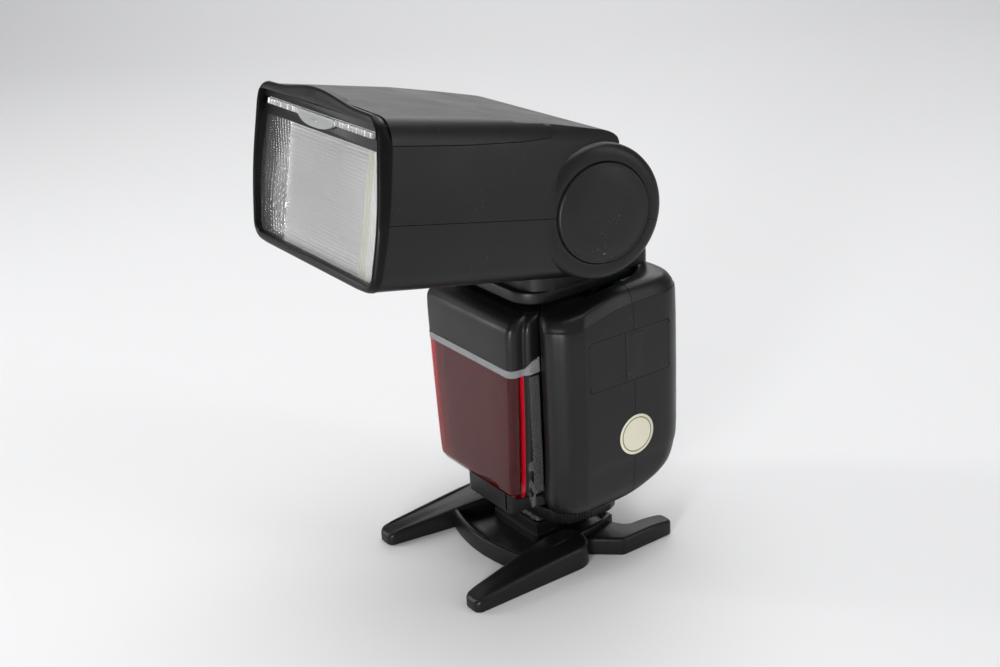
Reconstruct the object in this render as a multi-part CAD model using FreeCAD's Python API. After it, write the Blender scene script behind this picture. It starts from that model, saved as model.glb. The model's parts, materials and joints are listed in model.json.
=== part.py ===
"""Speedlight flash on its mini stand: one STEP file per physical piece.

Frame: millimetres, +Z up. The origin is the axis of the hot shoe foot and of the
stand's tripod thread, at the surface the stand rests on. -Y is the front of the
flash, +X is the flash's own left side. The head is modelled along its own axis
(forward = -Y, up = +Z, tilt axis at 0, 0) and then tilted and lifted into place.
"""
import FreeCAD, Part
import math
import os

V = FreeCAD.Vector
X_AXIS = V(1, 0, 0)
Y_AXIS = V(0, 1, 0)
Z_AXIS = V(0, 0, 1)
BIG = 200.0

# ---- driving dimensions -------------------------------------------------------
WALL = 1.8                    # moulded shell thickness
RUN = 0.05                    # radial clearance of a running fit

TILT_DEG = 11.19              # head stands this far above level at rest
TILT_Z = 120.94               # height of the tilt axis
SWIVEL_Y = 3.5                # the turret turns about this vertical axis

BODY_HALF_W = 38.0
BODY_TOP = 95.6
DISH_R = 31.0                 # round seat of the turret in the body's top
DISH_Z = 92.2
SEAM_Y = 9.3                  # front shell meets rear shell

NOSE_HALF_W = 23.6
NOSE_FRONT = -26.8
NOSE_R = 3.0                  # upright corners of the nose
NOSE_ROOT = -13.0             # the nose reaches this far into the main block
WINDOW_Z = (28.0, 71.5)       # red cover of the assist lamps
WINDOW_BACK = -21.9
WINDOW_T = 1.3
LAMP_FACE = -22.6             # front face of the lamp carrier

SHOE_FLOOR = 6.0              # floor of the stand's shoe channel
FOOT_W = 18.6                 # ISO 518 foot: width, length and thickness
FOOT_L = 18.0
FOOT_T = 2.0
FOOT_Z = SHOE_FLOOR + 0.1
STEM_W = 12.2
LIP_Z = (8.3, 9.8)            # lips of the stand's shoe
LIP_GAP = 12.6
FLANGE_Z = (10.2, 12.3)
LEVER_Z = (12.9, 17.6)
HUB_R = 9.0
BASE_BOTTOM = 12.3
PIN_POS = (0.0, 6.4)
PIN_R = 1.2
CONTACTS = [(0.0, 0.0, 1.0), (-4.3, -3.2, 0.8), (4.3, -3.2, 0.8), (-4.3, 3.4, 0.8)]
THREAD_R = 2.55               # minor radius of a 1/4 inch - 20 thread

TURRET_HALF_W = 24.3
TURRET_Y = (-20.0, 28.4)
TURRET_REAR_R = 3.0
TURRET_BOTTOM = 92.6
TURRET_FOOT = 95.9            # above this the turret overhangs its round seat
BARREL_R = 18.0
TILT_SHAFT_R = 5.0
SWIVEL_R = 12.0
BUSH_R = 16.0

DOOR_Y = (-7.6, 20.6)
DOOR_Z = (32.0, 62.0)
CELL_R = 7.1
CELL_L = 50.5
CELL_Y = (-0.9, 13.9)
CELL_Z = (39.1, 53.9)
CELL_X0 = -34.4

PORT_Z = (65.8, 82.2)
PORT_Y = (-8.6, 24.3)
PORT_SPLIT = 6.0
FLAP_T = 1.5
HINGE_EDGE = 0.75             # radius of a flap's rounded hinge edge

REAR_Y = 32.0
PANEL_HALF_W = 30.0
PANEL_Z = (33.0, 90.0)
PANEL_T = 1.6
LCD_HALF_W = 26.0
LCD_Z = (62.5, 87.5)
KEY_X = (19.5, 6.5, -6.5, -19.5)
KEY_Z = 57.5
KEY_W = 9.0
KEY_H = 4.4
DIAL = (0.0, 44.6)
DIAL_R = 9.6
SET_R = 4.6
SIDE_X = 19.6                 # buttons and switch beside the dial
MODE_Z = 49.0
TEST_Z = 40.0
SIDE_R = 3.6
SWITCH_TRAVEL = 2.6

HEAD_FRONT = 71.0             # shells end here and the front frame begins
HEAD_MID = 25.4               # half width of the slot that the turret stands in
HEAD_SLOT_A = 21.0
SEAM_B = -1.2                 # lower shell meets upper shell
BOSS_A = 1.2                  # centre of the round bosses, forward and up of the tilt axis
BOSS_B = 0.5
BOSS_R = 20.4
BOSS_FACE = 38.2              # half width at the boss's centre; the face leans to the front
BOSS_LEAN = 8.0
CAP_R = 15.0
CAP_FACE = 38.9
LENS_HALF_W = 35.3
LENS_A = (71.2, 74.0)
LENS_B = (-17.5, 16.9)
SLOT_B = (19.6, 23.6)
PANEL_HALF = 30.0
WIDE_B = (20.0, 21.2)
CATCH_B = (21.7, 22.5)
RAIL_X = 29.5
RAIL_B = -11.0
RAIL_R = 1.2
SCREW_X = 30.6
SCREW_B = 4.0
SCREW_R = 1.0
MOUTH_A = 48.0


# ---- small helpers ------------------------------------------------------------
def box(x, y, z):
    """Box from three (low, high) pairs."""
    return Part.makeBox(x[1] - x[0], y[1] - y[0], z[1] - z[0], V(x[0], y[0], z[0]))


def disc_z(cx, cy, r, z):
    """Upright cylinder between two heights."""
    return Part.makeCylinder(r, z[1] - z[0], V(cx, cy, z[0]), Z_AXIS)


def disc_y(cx, cz, r, y):
    return Part.makeCylinder(r, y[1] - y[0], V(cx, y[0], cz), Y_AXIS)


def disc_x(cy, cz, r, x):
    return Part.makeCylinder(r, x[1] - x[0], V(x[0], cy, cz), X_AXIS)


def fuse(shapes):
    out = shapes[0]
    for shape in shapes[1:]:
        out = out.fuse(shape)
    return out.removeSplitter()


def mirrored(shape):
    """The same shape on the other side of the middle plane."""
    return shape.mirror(V(0, 0, 0), X_AXIS)


def both_sides(shape):
    return fuse([shape, mirrored(shape)])


def rounded_wire(low, high, radii, put):
    """Rounded rectangle; radii at (low,low), (high,low), (high,high), (low,high)."""
    (u0, v0), (u1, v1) = low, high
    corners = [(u0, v0, 180), (u1, v0, 270), (u1, v1, 0), (u0, v1, 90)]
    centres = []
    for (u, v, start), r in zip(corners, radii):
        cu = u + r if u == u0 else u - r
        cv = v + r if v == v0 else v - r
        centres.append((cu, cv, r, start))
    edges = []
    previous = None
    arcs = []
    for cu, cv, r, start in centres:
        points = []
        for step in (0, 45, 90):
            angle = math.radians(start + step)
            points.append(put(cu + r * math.cos(angle), cv + r * math.sin(angle)))
        arcs.append(points)
    for index, points in enumerate(arcs):
        if previous is not None:
            edges.append(Part.LineSegment(previous, points[0]).toShape())
        edges.append(Part.Arc(*points).toShape())
        previous = points[2]
    edges.append(Part.LineSegment(previous, arcs[0][0]).toShape())
    return Part.Wire(edges)


def prism_z(x, y, z, r):
    """Upright block with rounded vertical corners."""
    wire = rounded_wire((x[0], y[0]), (x[1], y[1]), [r] * 4, lambda u, v: V(u, v, z[0]))
    return Part.Face(wire).extrude(V(0, 0, z[1] - z[0]))


def prism_y(x, z, y, r):
    """Block lying along Y with rounded long edges."""
    wire = rounded_wire((x[0], z[0]), (x[1], z[1]), [r] * 4, lambda u, v: V(u, y[0], v))
    return Part.Face(wire).extrude(V(0, y[1] - y[0], 0))


def prism_x(y, z, x, r):
    wire = rounded_wire((y[0], z[0]), (y[1], z[1]), [r] * 4, lambda u, v: V(x[0], u, v))
    return Part.Face(wire).extrude(V(x[1] - x[0], 0, 0))


def side_plate(points, x):
    """Polygon of (y, z) points, extruded across X."""
    wire = Part.makePolygon([V(x[0], y, z) for y, z in points] + [V(x[0], *points[0])])
    return Part.Face(wire).extrude(V(x[1] - x[0], 0, 0))


def plan_plate(points, z):
    """Polygon of (x, y) points, extruded upward."""
    wire = Part.makePolygon([V(x, y, z[0]) for x, y in points] + [V(*points[0], z[0])])
    return Part.Face(wire).extrude(V(0, 0, z[1] - z[0]))


def edges_where(shape, test):
    return [edge for edge in shape.Edges if test(edge)]


def straight_along(edge, axis):
    if edge.Curve.TypeId != "Part::GeomLine":
        return False
    return abs(abs(edge.Curve.Direction.dot(axis)) - 1.0) < 1e-6


def rounded(shape, radius, test):
    return shape.makeFillet(radius, edges_where(shape, test))


# ---- mini stand ---------------------------------------------------------------
LEG_TOP = 8.0
TOE_TOP = 4.4                 # the front legs slope down to this at their toes
REAR_TOP = 6.2
RIM_Z = 8.0
DISH_FLOOR = 3.2
RIM_W = 1.8
RIM_HALF = 23.0


def front_leg():
    """Tapered leg of the +X side, sloping down towards its toe."""
    outline = [(29.0, -7.0), (29.8, -30.0), (30.0, -46.6), (28.0, -48.6), (23.6, -48.6), (21.7, -46.6),
               (20.2, -38.7), (17.6, -22.8), (16.0, -7.0)]
    hip = disc_z(22.5, -9.0, 7.5, (0, LEG_TOP))
    leg = fuse([plan_plate(outline, (0, LEG_TOP)), hip])
    slope = side_plate([(-60, TOE_TOP), (-49, TOE_TOP), (-8, LEG_TOP), (-8, 20), (-60, 20)], (0, 60))
    return leg.cut(slope)


def rear_leg():
    outline = [(18.0, 2.0), (24.0, 2.5), (31.6, 7.4), (33.0, 10.4), (33.0, 28.0), (31.0, 30.0),
               (28.2, 30.0), (26.3, 28.0), (26.0, 17.0), (22.6, 13.2), (18.0, 12.0)]
    slope = side_plate([(12, REAR_TOP), (31, 4.6), (31, 20), (12, 20)], (0, 60))
    return plan_plate(outline, (0, REAR_TOP)).cut(slope)


def platform_outline(shrink):
    """Plan of the stand's middle: arched front, slightly bowed sides."""
    half = RIM_HALF - shrink
    front = Part.Arc(V(-half + 0.6, -23.4 + shrink, 0), V(0, -27.4 + shrink, 0),
                     V(half - 0.6, -23.4 + shrink, 0)).toShape()
    corners = [V(half - 0.6, -23.4 + shrink, 0), V(half, -6, 0), V(half - 2.0, 14 - shrink, 0),
               V(-half + 2.0, 14 - shrink, 0), V(-half, -6, 0), V(-half + 0.6, -23.4 + shrink, 0)]
    return Part.Face(Part.Wire([front] + Part.makePolygon(corners).Edges))


def platform():
    """Dished middle of the stand with a raised pad for the shoe, open at the rear."""
    block = platform_outline(0).extrude(V(0, 0, RIM_Z))
    dish = platform_outline(RIM_W).extrude(V(0, 0, RIM_Z))
    dish.translate(V(0, 0, DISH_FLOOR))
    side = FOOT_W / 2 + 2.7
    pad = box((-side, side), (-11.6, 13.0), (0, SHOE_FLOOR))
    way_out = box((-side, side), (11.0, 20.0), (SHOE_FLOOR, RIM_Z))
    return block.cut(dish).fuse(pad).cut(way_out)


def shoe_rails():
    """Two lipped rails and the front stop that hold a hot shoe foot."""
    side = FOOT_W / 2 + 0.08
    wall = box((side, side + 2.6), (-11.6, 11.0), (SHOE_FLOOR - 0.5, LIP_Z[1]))
    lip = box((LIP_GAP / 2, side + 0.5), (-11.6, 11.0), LIP_Z)
    rail = fuse([wall, lip])
    stop = box((-side - 0.5, side + 0.5), (-11.6, -FOOT_L / 2 - 0.3), (SHOE_FLOOR - 0.5, LIP_Z[1]))
    return fuse([both_sides(rail), stop])


def mini_stand():
    legs = both_sides(fuse([front_leg(), rear_leg()]))
    body = fuse([platform(), legs, shoe_rails()])
    body = body.cut(disc_z(0, 0, 5.0, (-1, 5.0)))
    body = body.cut(disc_z(*PIN_POS, 1.7, (SHOE_FLOOR - 2.4, SHOE_FLOOR + 1)))
    return body


def thread_insert():
    """Brass bush with the tripod thread, moulded into the stand."""
    return disc_z(0, 0, 5.0, (0, 5.0)).cut(disc_z(0, 0, THREAD_R, (-1, 6)))


# ---- foot ----------------------------------------------------------------------
def hot_shoe_foot():
    """Steel foot: plate, stem and flange, with a pocket for the contact carrier."""
    half = FOOT_L / 2
    plate = prism_z((-FOOT_W / 2, FOOT_W / 2), (-half, half), (FOOT_Z, FOOT_Z + FOOT_T), 1.0)
    stem = box((-STEM_W / 2, STEM_W / 2), (-half, half), (FOOT_Z + FOOT_T, FLANGE_Z[0]))
    flange = prism_z((-11.0, 11.0), (-10.5, 11.0), FLANGE_Z, 2.0)
    foot = fuse([plate, stem, flange])
    foot = foot.cut(carrier_block())
    for screw in case_screws():
        foot = foot.cut(screw)
    return foot.cut(disc_z(*PIN_POS, PIN_R + RUN, (0, 20)))


def carrier_block():
    return prism_z((-5.6, 5.6), (-4.8, 4.8), (FOOT_Z, FLANGE_Z[1]), 0.8)


def contact_carrier():
    carrier = carrier_block()
    for x, y, r in CONTACTS:
        carrier = carrier.cut(disc_z(x, y, r + RUN, (0, 20)))
    return carrier


def contact_pins():
    """Sprung contact plungers; they travel together."""
    return [disc_z(x, y, r, (FOOT_Z - 0.05, FLANGE_Z[1] - 0.8)) for x, y, r in CONTACTS]


def lock_lever():
    """Wide lever round the foot's hub, ribbed where the finger pushes it."""
    outline = [(-13, -11.6), (-19.5, -9.6), (-23.2, -6.6), (-24.4, 0), (-24.6, 9.5), (-22.5, 13.5),
               (-12, 16.0), (12, 16.0), (22.5, 13.5), (24.6, 9.5), (24.4, 0), (23.2, -6.6),
               (19.5, -9.6), (13, -11.6)]
    lever = plan_plate(outline, LEVER_Z)
    lever = rounded(lever, 2.0, lambda e: straight_along(e, Z_AXIS))
    lever = lever.cut(disc_z(0, 0, HUB_R + RUN, (0, 30)))
    for index in range(7):
        x = 13.4 + 1.45 * index
        y = -11.9 + 0.045 * (x - 13.4) ** 2
        lever = lever.cut(disc_z(x, y, 0.42, (LEVER_Z[0] - 1, LEVER_Z[1] + 1)))
    return lever


def lock_pin():
    return disc_z(*PIN_POS, PIN_R, (FOOT_Z + 0.5, 16.0))


def foot_block():
    """Base moulding under the body: hub for the lever and the block at the front."""
    front = box((-12.6, 12.6), (-22.0, -12.4), (18.3, 27.6))
    front = rounded(front, 2.2, lambda e: straight_along(e, Z_AXIS) and e.Vertexes[0].Point.y < -20)
    toe = box((-12.6, 12.6), (-22.0, -12.5), (LEVER_Z[1] + 0.2, 19.0))
    toe = rounded(toe, 2.2, lambda e: straight_along(e, Z_AXIS) and e.Vertexes[0].Point.y < -20)
    deck = prism_z((-15.0, 15.0), (-13.5, 13.0), (18.3, 24.0), 4.0)
    hub = disc_z(0, 0, HUB_R, (BASE_BOTTOM, 19.0))
    block = fuse([front, toe, deck, hub])
    block = block.cut(disc_z(*PIN_POS, PIN_R + RUN, (0, 16.4)))
    for screw in case_screws():
        block = block.cut(screw)
    slot = box((9.6, 10.5), (-23, -21.2), (18.4, 26.4))
    return block.cut(slot)


# ---- flash body ------------------------------------------------------------------
# height, half width, front, rear of the main block at each level
BODY_LEVELS = [(19.8, 27.5, -10.4, 10.0), (21.0, 31.0, -13.0, 12.0), (23.5, 34.8, -16.0, 16.5),
               (27.0, 36.8, -17.9, 23.5), (31.0, 37.6, -18.6, 29.0), (37.0, 37.95, -18.8, 31.4),
               (46.0, 38.0, -18.8, 32.0), (60.0, 38.0, -18.8, 32.0), (76.0, 38.0, -18.8, 32.0),
               (86.0, 38.0, -18.8, 31.9), (91.0, 37.7, -18.5, 31.4), (93.4, 36.8, -17.5, 30.2),
               (94.8, 35.4, -16.0, 28.6), (95.6, 33.0, -13.6, 26.0)]
FRONT_R = 8.0
REAR_R = 10.0


def body_block(shrink):
    """Main block of the body, pulled in by shrink on every side."""
    wires = []
    low = BODY_LEVELS[0][0] + shrink
    high = BODY_LEVELS[-1][0] - shrink
    span = BODY_TOP - BODY_LEVELS[0][0]
    for z, half, front, rear in BODY_LEVELS:
        level = low + (z - BODY_LEVELS[0][0]) * (high - low) / span
        radii = [FRONT_R - shrink, FRONT_R - shrink, REAR_R - shrink, REAR_R - shrink]
        wires.append(rounded_wire((-half + shrink, front + shrink), (half - shrink, rear - shrink),
                                  radii, lambda u, v, w=level: V(u, v, w)))
    return Part.makeLoft(wires, True, False)


def inside_body(shape):
    """Trim an inner piece so that it clears the shell's inner wall."""
    return shape.common(body_block(WALL + 0.1))


# height, half width, front of the nose at each level
NOSE_LEVELS = [(26.4, 18.6, -22.6), (27.4, 20.0, -24.8), (29.4, 20.9, -26.2), (33.0, 21.5, NOSE_FRONT),
               (55.0, 22.7, NOSE_FRONT), (72.0, 23.3, NOSE_FRONT), (85.0, NOSE_HALF_W, NOSE_FRONT),
               (88.4, 23.3, -25.4), (90.4, 22.5, -22.4), (91.0, 21.8, -19.6)]


def nose_block(shrink):
    """Box that stands proud of the body's front and carries the red window."""
    wires = []
    low = NOSE_LEVELS[0][0] + shrink
    high = NOSE_LEVELS[-1][0] - shrink
    span = NOSE_LEVELS[-1][0] - NOSE_LEVELS[0][0]
    for z, half, front in NOSE_LEVELS:
        level = low + (z - NOSE_LEVELS[0][0]) * (high - low) / span
        radii = [NOSE_R - shrink, NOSE_R - shrink, 0.2, 0.2]
        wires.append(rounded_wire((-half + shrink, front + shrink), (half - shrink, NOSE_ROOT),
                                  radii, lambda u, v, w=level: V(u, v, w)))
    return Part.makeLoft(wires, True, True)


def above_front():
    """Space over the body's top, which falls from the seam down to the nose."""
    line = [(-40, 91.4), (-14, 91.4), (-10, 91.8), (-4, 93.2), (2, 94.8), (6, 95.4), (9, 95.6)]
    return side_plate(line + [(9, 120), (-40, 120)], (-60, 60))


def shell_solid():
    """Both body shells as one hollow solid, before they are parted."""
    outer = body_block(0).cut(above_front()).fuse(nose_block(0)).removeSplitter()
    dish = disc_z(0, SWIVEL_Y, DISH_R, (DISH_Z, 120))
    hollow = body_block(WALL).cut(box((-BIG, BIG), (-BIG, BIG), (DISH_Z - 2.0, BIG)))
    hollow = hollow.fuse(nose_block(WALL))
    shell = outer.cut(dish).cut(hollow)
    shell = shell.cut(disc_z(0, SWIVEL_Y, BUSH_R, (80, 100)))
    shell = shell.cut(prism_z((-15.0, 15.0), (-13.5, 13.0), (10, 24.0), 4.0))
    shell = shell.cut(box((-12.6, 12.6), (-23, -12.4), (10, 27.6)))
    return shell


def door_cutter(grow):
    """Space of the battery door; its lower edge is a half round on the hinge line."""
    y = (DOOR_Y[0] - grow, DOOR_Y[1] + grow)
    plate = box((-45, -30), y, (DOOR_Z[0], DOOR_Z[1] + grow))
    edge = Part.makeCylinder(0.9 + grow, y[1] - y[0], V(-37.05, y[0], DOOR_Z[0]), Y_AXIS)
    return fuse([plate, edge])


def flap_cutter(y, hinge_y, grow):
    """Space of one rubber flap; its hinge edge is a half round."""
    span = (PORT_Z[0] - grow, PORT_Z[1] + grow)
    low = y[0] if y[0] == hinge_y else y[0] - grow
    high = y[1] if y[1] == hinge_y else y[1] + grow
    plate = box((30, 45), (low, high), span)
    edge = disc_z(38.0 - HINGE_EDGE, hinge_y, HINGE_EDGE + grow, span)
    return fuse([plate, edge])


FRONT_FLAP = ((PORT_Y[0] + HINGE_EDGE, PORT_SPLIT - 0.2), PORT_Y[0] + HINGE_EDGE)
REAR_FLAP = ((PORT_SPLIT + 0.2, PORT_Y[1] - HINGE_EDGE), PORT_Y[1] - HINGE_EDGE)


def panel_space():
    return prism_y((-PANEL_HALF_W, PANEL_HALF_W), PANEL_Z, (REAR_Y - PANEL_T, REAR_Y + 5), 4.0)


def case_shell():
    shell = shell_solid()
    shell = shell.cut(door_cutter(0.25))
    shell = shell.cut(flap_cutter(*FRONT_FLAP, 0.2)).cut(flap_cutter(*REAR_FLAP, 0.2))
    shell = shell.cut(window_skin(0))
    lamp_opening = box((-30, 30), (-30, WINDOW_BACK - 0.6), (WINDOW_Z[0] + 2.5, WINDOW_Z[1] - 2.0))
    inside_panel = prism_y((-28, 28), (35, 88), (20, 40), 3.0)
    shell = shell.cut(lamp_opening).cut(inside_panel).cut(panel_space())
    return shell


def front_shell():
    return case_shell().cut(box((-BIG, BIG), (SEAM_Y, BIG), (-BIG, BIG)))


def rear_shell():
    return case_shell().cut(box((-BIG, BIG), (-BIG, SEAM_Y), (-BIG, BIG)))


def window_skin(gap):
    """Skin of the nose that the red window takes up."""
    skin = nose_block(0).cut(nose_block(WINDOW_T))
    return skin.common(box((-BIG, BIG), (-40, WINDOW_BACK - gap), (WINDOW_Z[0] + gap, WINDOW_Z[1] - gap)))


def af_window():
    return window_skin(0.05)


def af_lamp_module():
    """Two assist lamps and the light sensor on one dark carrier behind the red window."""
    carrier = prism_y((-17.0, 17.0), (34, 69), (LAMP_FACE, -16.0), 4.0)
    carrier = carrier.cut(prism_y((-15.5, 15.5), (35.5, 67.5), (LAMP_FACE + 1.5, 0), 2.5))
    parts = [carrier]
    for x, z in ((-8, 58), (8, 58), (0, 43)):
        dome = Part.makeSphere(5.0, V(x, LAMP_FACE + 3.0, z))
        parts.append(dome.cut(box((-BIG, BIG), (LAMP_FACE + 1.0, BIG), (-BIG, BIG))))
    return fuse(parts)


def swivel_bushing():
    ring = fuse([disc_z(0, SWIVEL_Y, BUSH_R, (88.4, 92.0)), disc_z(0, SWIVEL_Y, 19.0, (87.0, 88.4))])
    return ring.cut(disc_z(0, SWIVEL_Y, SWIVEL_R + RUN, (80, 100)))


def battery_door():
    skin = body_block(0).cut(body_block(WALL))
    door = skin.common(door_cutter(0))
    below = box((-45, -30), (-BIG, BIG), (0, DOOR_Z[0]))
    edge = Part.makeCylinder(0.9, DOOR_Y[1] - DOOR_Y[0], V(-37.05, DOOR_Y[0], DOOR_Z[0]), Y_AXIS)
    door = fuse([door.cut(below), edge])
    grip = box((-39, -37.6), (2.5, 10.5), (54.0, 59.5))
    for index in range(4):
        z = 54.6 + 1.4 * index
        door = door.cut(box((-39, -37.6), (2.5, 10.5), (z, z + 0.7)).common(grip))
    return door


def port_flap(y, hinge_y, strip):
    """Rubber flap over the sockets with a raised lifting strip."""
    skin = body_block(0).cut(body_block(FLAP_T))
    flap = skin.common(flap_cutter(y, hinge_y, 0))
    beyond = box((30, 45), (hinge_y, BIG) if hinge_y > 0 else (-BIG, hinge_y), (0, BIG))
    edge = disc_z(38.0 - HINGE_EDGE, hinge_y, HINGE_EDGE, PORT_Z)
    ridge = box((37.5, 38.5), strip, (PORT_Z[0] + 0.4, PORT_Z[1] - 0.4))
    return fuse([flap.cut(beyond), edge, ridge])


def port_cover_front():
    return port_flap(*FRONT_FLAP, (2.8, 5.2))


def port_cover_rear():
    return port_flap(*REAR_FLAP, (6.8, 10.0))


def port_sockets():
    """Carrier with the sync, remote and power sockets behind the rubber covers."""
    block = inside_body(box((27, 36.0), (-7, 23), (67, 81)))
    block = block.cut(disc_x(-0.5, 74, 4.2, (32, 40)))
    block = block.cut(disc_x(9.0, 74, 1.8, (29, 40)))
    block = block.cut(prism_x((14.0, 20.0), (70.5, 77.5), (31, 40), 1.0))
    pin = disc_x(-0.5, 74, 1.1, (31.5, 35.2))
    return fuse([block, pin])


def battery_box():
    """Moulded bay for four cells, open towards the door."""
    outer = box((-35.4, 18.4), (-9.5, 22.5), (30.8, 63.2))
    inner = box((-40, 17.2), (-8.2, 21.2), (32.0, 61.6))
    return inside_body(outer).cut(inner)


def battery_cells():
    cells = []
    for y in CELL_Y:
        for z in CELL_Z:
            can = disc_x(y, z, CELL_R, (CELL_X0, CELL_X0 + CELL_L - 1.2))
            nub = disc_x(y, z, 2.6, (CELL_X0 + CELL_L - 1.2, CELL_X0 + CELL_L))
            cells.append(fuse([can, nub]))
    return cells


def battery_contacts():
    x = (CELL_X0 + CELL_L + 0.1, 17.2)
    return [prism_x((-7.5, 20.5), (z - 5.5, z + 5.5), x, 1.5) for z in CELL_Z]


def main_board():
    board = inside_body(box((-31, 31), (-14.0, -12.4), (28, 85)))
    chip = box((-22, -6), (-12.4, -10.6), (66, 82))
    coil = box((2, 14), (-12.4, -9.8), (68, 80))
    return fuse([board, chip, coil])


def control_board():
    return inside_body(box((-29, 29), (24.2, 25.8), (34, 88)))


def main_capacitor():
    can = disc_z(27.2, 6.0, 8.3, (33, 64))
    return rounded(can, 1.0, lambda e: e.Curve.TypeId == "Part::GeomCircle")


def rear_panel():
    """Control panel set into the rear shell, with openings for every control."""
    panel = prism_y((-PANEL_HALF_W + 0.1, PANEL_HALF_W - 0.1), (PANEL_Z[0] + 0.1, PANEL_Z[1] - 0.1),
                    (REAR_Y - PANEL_T, REAR_Y + 0.3), 4.0)
    panel = panel.cut(prism_y((-LCD_HALF_W, LCD_HALF_W), LCD_Z, (20, 40), 1.5))
    for x in KEY_X:
        panel = panel.cut(key_shape(x, 0.2, (20, 40)))
    for x, z in ((SIDE_X, MODE_Z), (-SIDE_X, MODE_Z), (SIDE_X, TEST_Z)):
        panel = panel.cut(disc_y(x, z, SIDE_R + 0.2, (20, 40)))
    panel = panel.cut(disc_y(*DIAL, DIAL_R - 1.8, (20, 40)))
    half = SWITCH_TRAVEL + 1.5
    return panel.cut(prism_y((-SIDE_X - half, -SIDE_X + half), (TEST_Z - 1.5, TEST_Z + 1.5), (20, 40), 0.6))


def key_shape(x, grow, y):
    half = KEY_W / 2 + grow
    return prism_y((x - half, x + half), (KEY_Z - KEY_H / 2 - grow, KEY_Z + KEY_H / 2 + grow), y, 2.0)


def key(x):
    """Rubber key with a wider collar behind the panel."""
    cap = key_shape(x, 0, (27.4, REAR_Y + 1.3))
    cap = rounded(cap, 0.5, lambda e: min(v.Point.y for v in e.Vertexes) > REAR_Y + 1.2)
    collar = key_shape(x, 0.9, (27.4, 28.4))
    return fuse([cap, collar])


def lcd_module():
    """Display: a shallow frame round the glass."""
    frame = box((-26.5, 26.5), (25.9, 30.0), (63.5, 87.5))
    return frame.cut(box((-22, 22), (29.4, 31), (65.5, 85.5)))


def lcd_window():
    return prism_y((-LCD_HALF_W + 0.05, LCD_HALF_W - 0.05), (LCD_Z[0] + 0.05, LCD_Z[1] - 0.05),
                   (REAR_Y - 1.2, REAR_Y + 0.2), 1.5)


def select_dial():
    """Ribbed ring that turns round the OK button."""
    ring = disc_y(*DIAL, DIAL_R, (REAR_Y + 0.6, REAR_Y + 3.0))
    ring = rounded(ring, 0.6, lambda e: e.Vertexes[0].Point.y > REAR_Y + 2.9)
    skirt = disc_y(*DIAL, DIAL_R - 2.1, (28.6, REAR_Y + 0.8))
    dial = fuse([ring, skirt]).cut(disc_y(*DIAL, SET_R + 0.3, (20, 40)))
    for index in range(20):
        angle = math.radians(18 * index)
        x = DIAL[0] + (DIAL_R + 0.15) * math.cos(angle)
        z = DIAL[1] + (DIAL_R + 0.15) * math.sin(angle)
        dial = dial.cut(disc_y(x, z, 0.6, (REAR_Y - 1, REAR_Y + 5)))
    return dial


def round_button(x, z, r, proud):
    """Round push button with a rounded rim and a collar behind the panel."""
    cap = disc_y(x, z, r, (27.6, REAR_Y + proud))
    cap = rounded(cap, 0.5, lambda e: e.Vertexes[0].Point.y > REAR_Y + proud - 0.1)
    collar = disc_y(x, z, r + 0.9, (27.6, 28.5))
    return fuse([cap, collar])


def set_button():
    cap = disc_y(*DIAL, SET_R, (27.6, REAR_Y + 2.6))
    return rounded(cap, 0.5, lambda e: e.Vertexes[0].Point.y > REAR_Y + 2.5)


def power_switch():
    """Sliding switch: a ribbed thumb bar on a neck that passes the panel's slot."""
    bar = prism_y((-SIDE_X - 4.2, -SIDE_X + 4.2), (TEST_Z - 2.4, TEST_Z + 2.4),
                  (REAR_Y + 0.6, REAR_Y + 2.2), 1.0)
    neck = box((-SIDE_X - 1.3, -SIDE_X + 1.3), (29.0, REAR_Y + 1.0), (TEST_Z - 1.2, TEST_Z + 1.2))
    foot = box((-SIDE_X - 2.6, -SIDE_X + 2.6), (28.4, 29.6), (TEST_Z - 2.2, TEST_Z + 2.2))
    switch = fuse([bar, neck, foot])
    for step in (-2, -1, 0, 1, 2):
        x = -SIDE_X + 1.1 * step
        switch = switch.cut(box((x - 0.25, x + 0.25), (REAR_Y + 1.7, REAR_Y + 3), (TEST_Z - 3, TEST_Z + 3)))
    return switch


def side_sticker():
    """Plain round sticker on the +X side, across the shell seam."""
    skin = body_block(-0.14).cut(body_block(-0.02))
    return skin.common(disc_x(9.8, 46.6, 6.8, (30, 45)))


def case_screws():
    """Four countersunk screws that hold the hot shoe foot to its base."""
    screws = []
    for x in (-3.9, 3.9):
        for y in (-6.7, 6.7):
            head = Part.makeCone(1.7, 0.9, 1.4, V(x, y, FOOT_Z + 0.1), Z_AXIS)
            shank = disc_z(x, y, 0.9, (FOOT_Z + 1.4, 16.5))
            screws.append(fuse([head, shank]))
    return screws


# ---- turret -----------------------------------------------------------------------
def turret_profile(shrink):
    """Side outline of the turret's neck and of the barrel round the tilt axis."""
    r = BARREL_R - shrink
    front = -17.5 + shrink
    rear = TURRET_Y[1] - shrink
    x = (-TURRET_HALF_W + shrink, TURRET_HALF_W - shrink)
    foot = TURRET_BOTTOM + 1.0
    neck = side_plate([(front, foot), (front, TILT_Z - 3), (0, TILT_Z), (17.0 - shrink, TILT_Z - 5),
                       (20.5 - shrink, TILT_Z - 13), (rear, TILT_Z - 19), (rear, foot)], x)
    return fuse([neck, disc_x(0, TILT_Z, r, x)])


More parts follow.
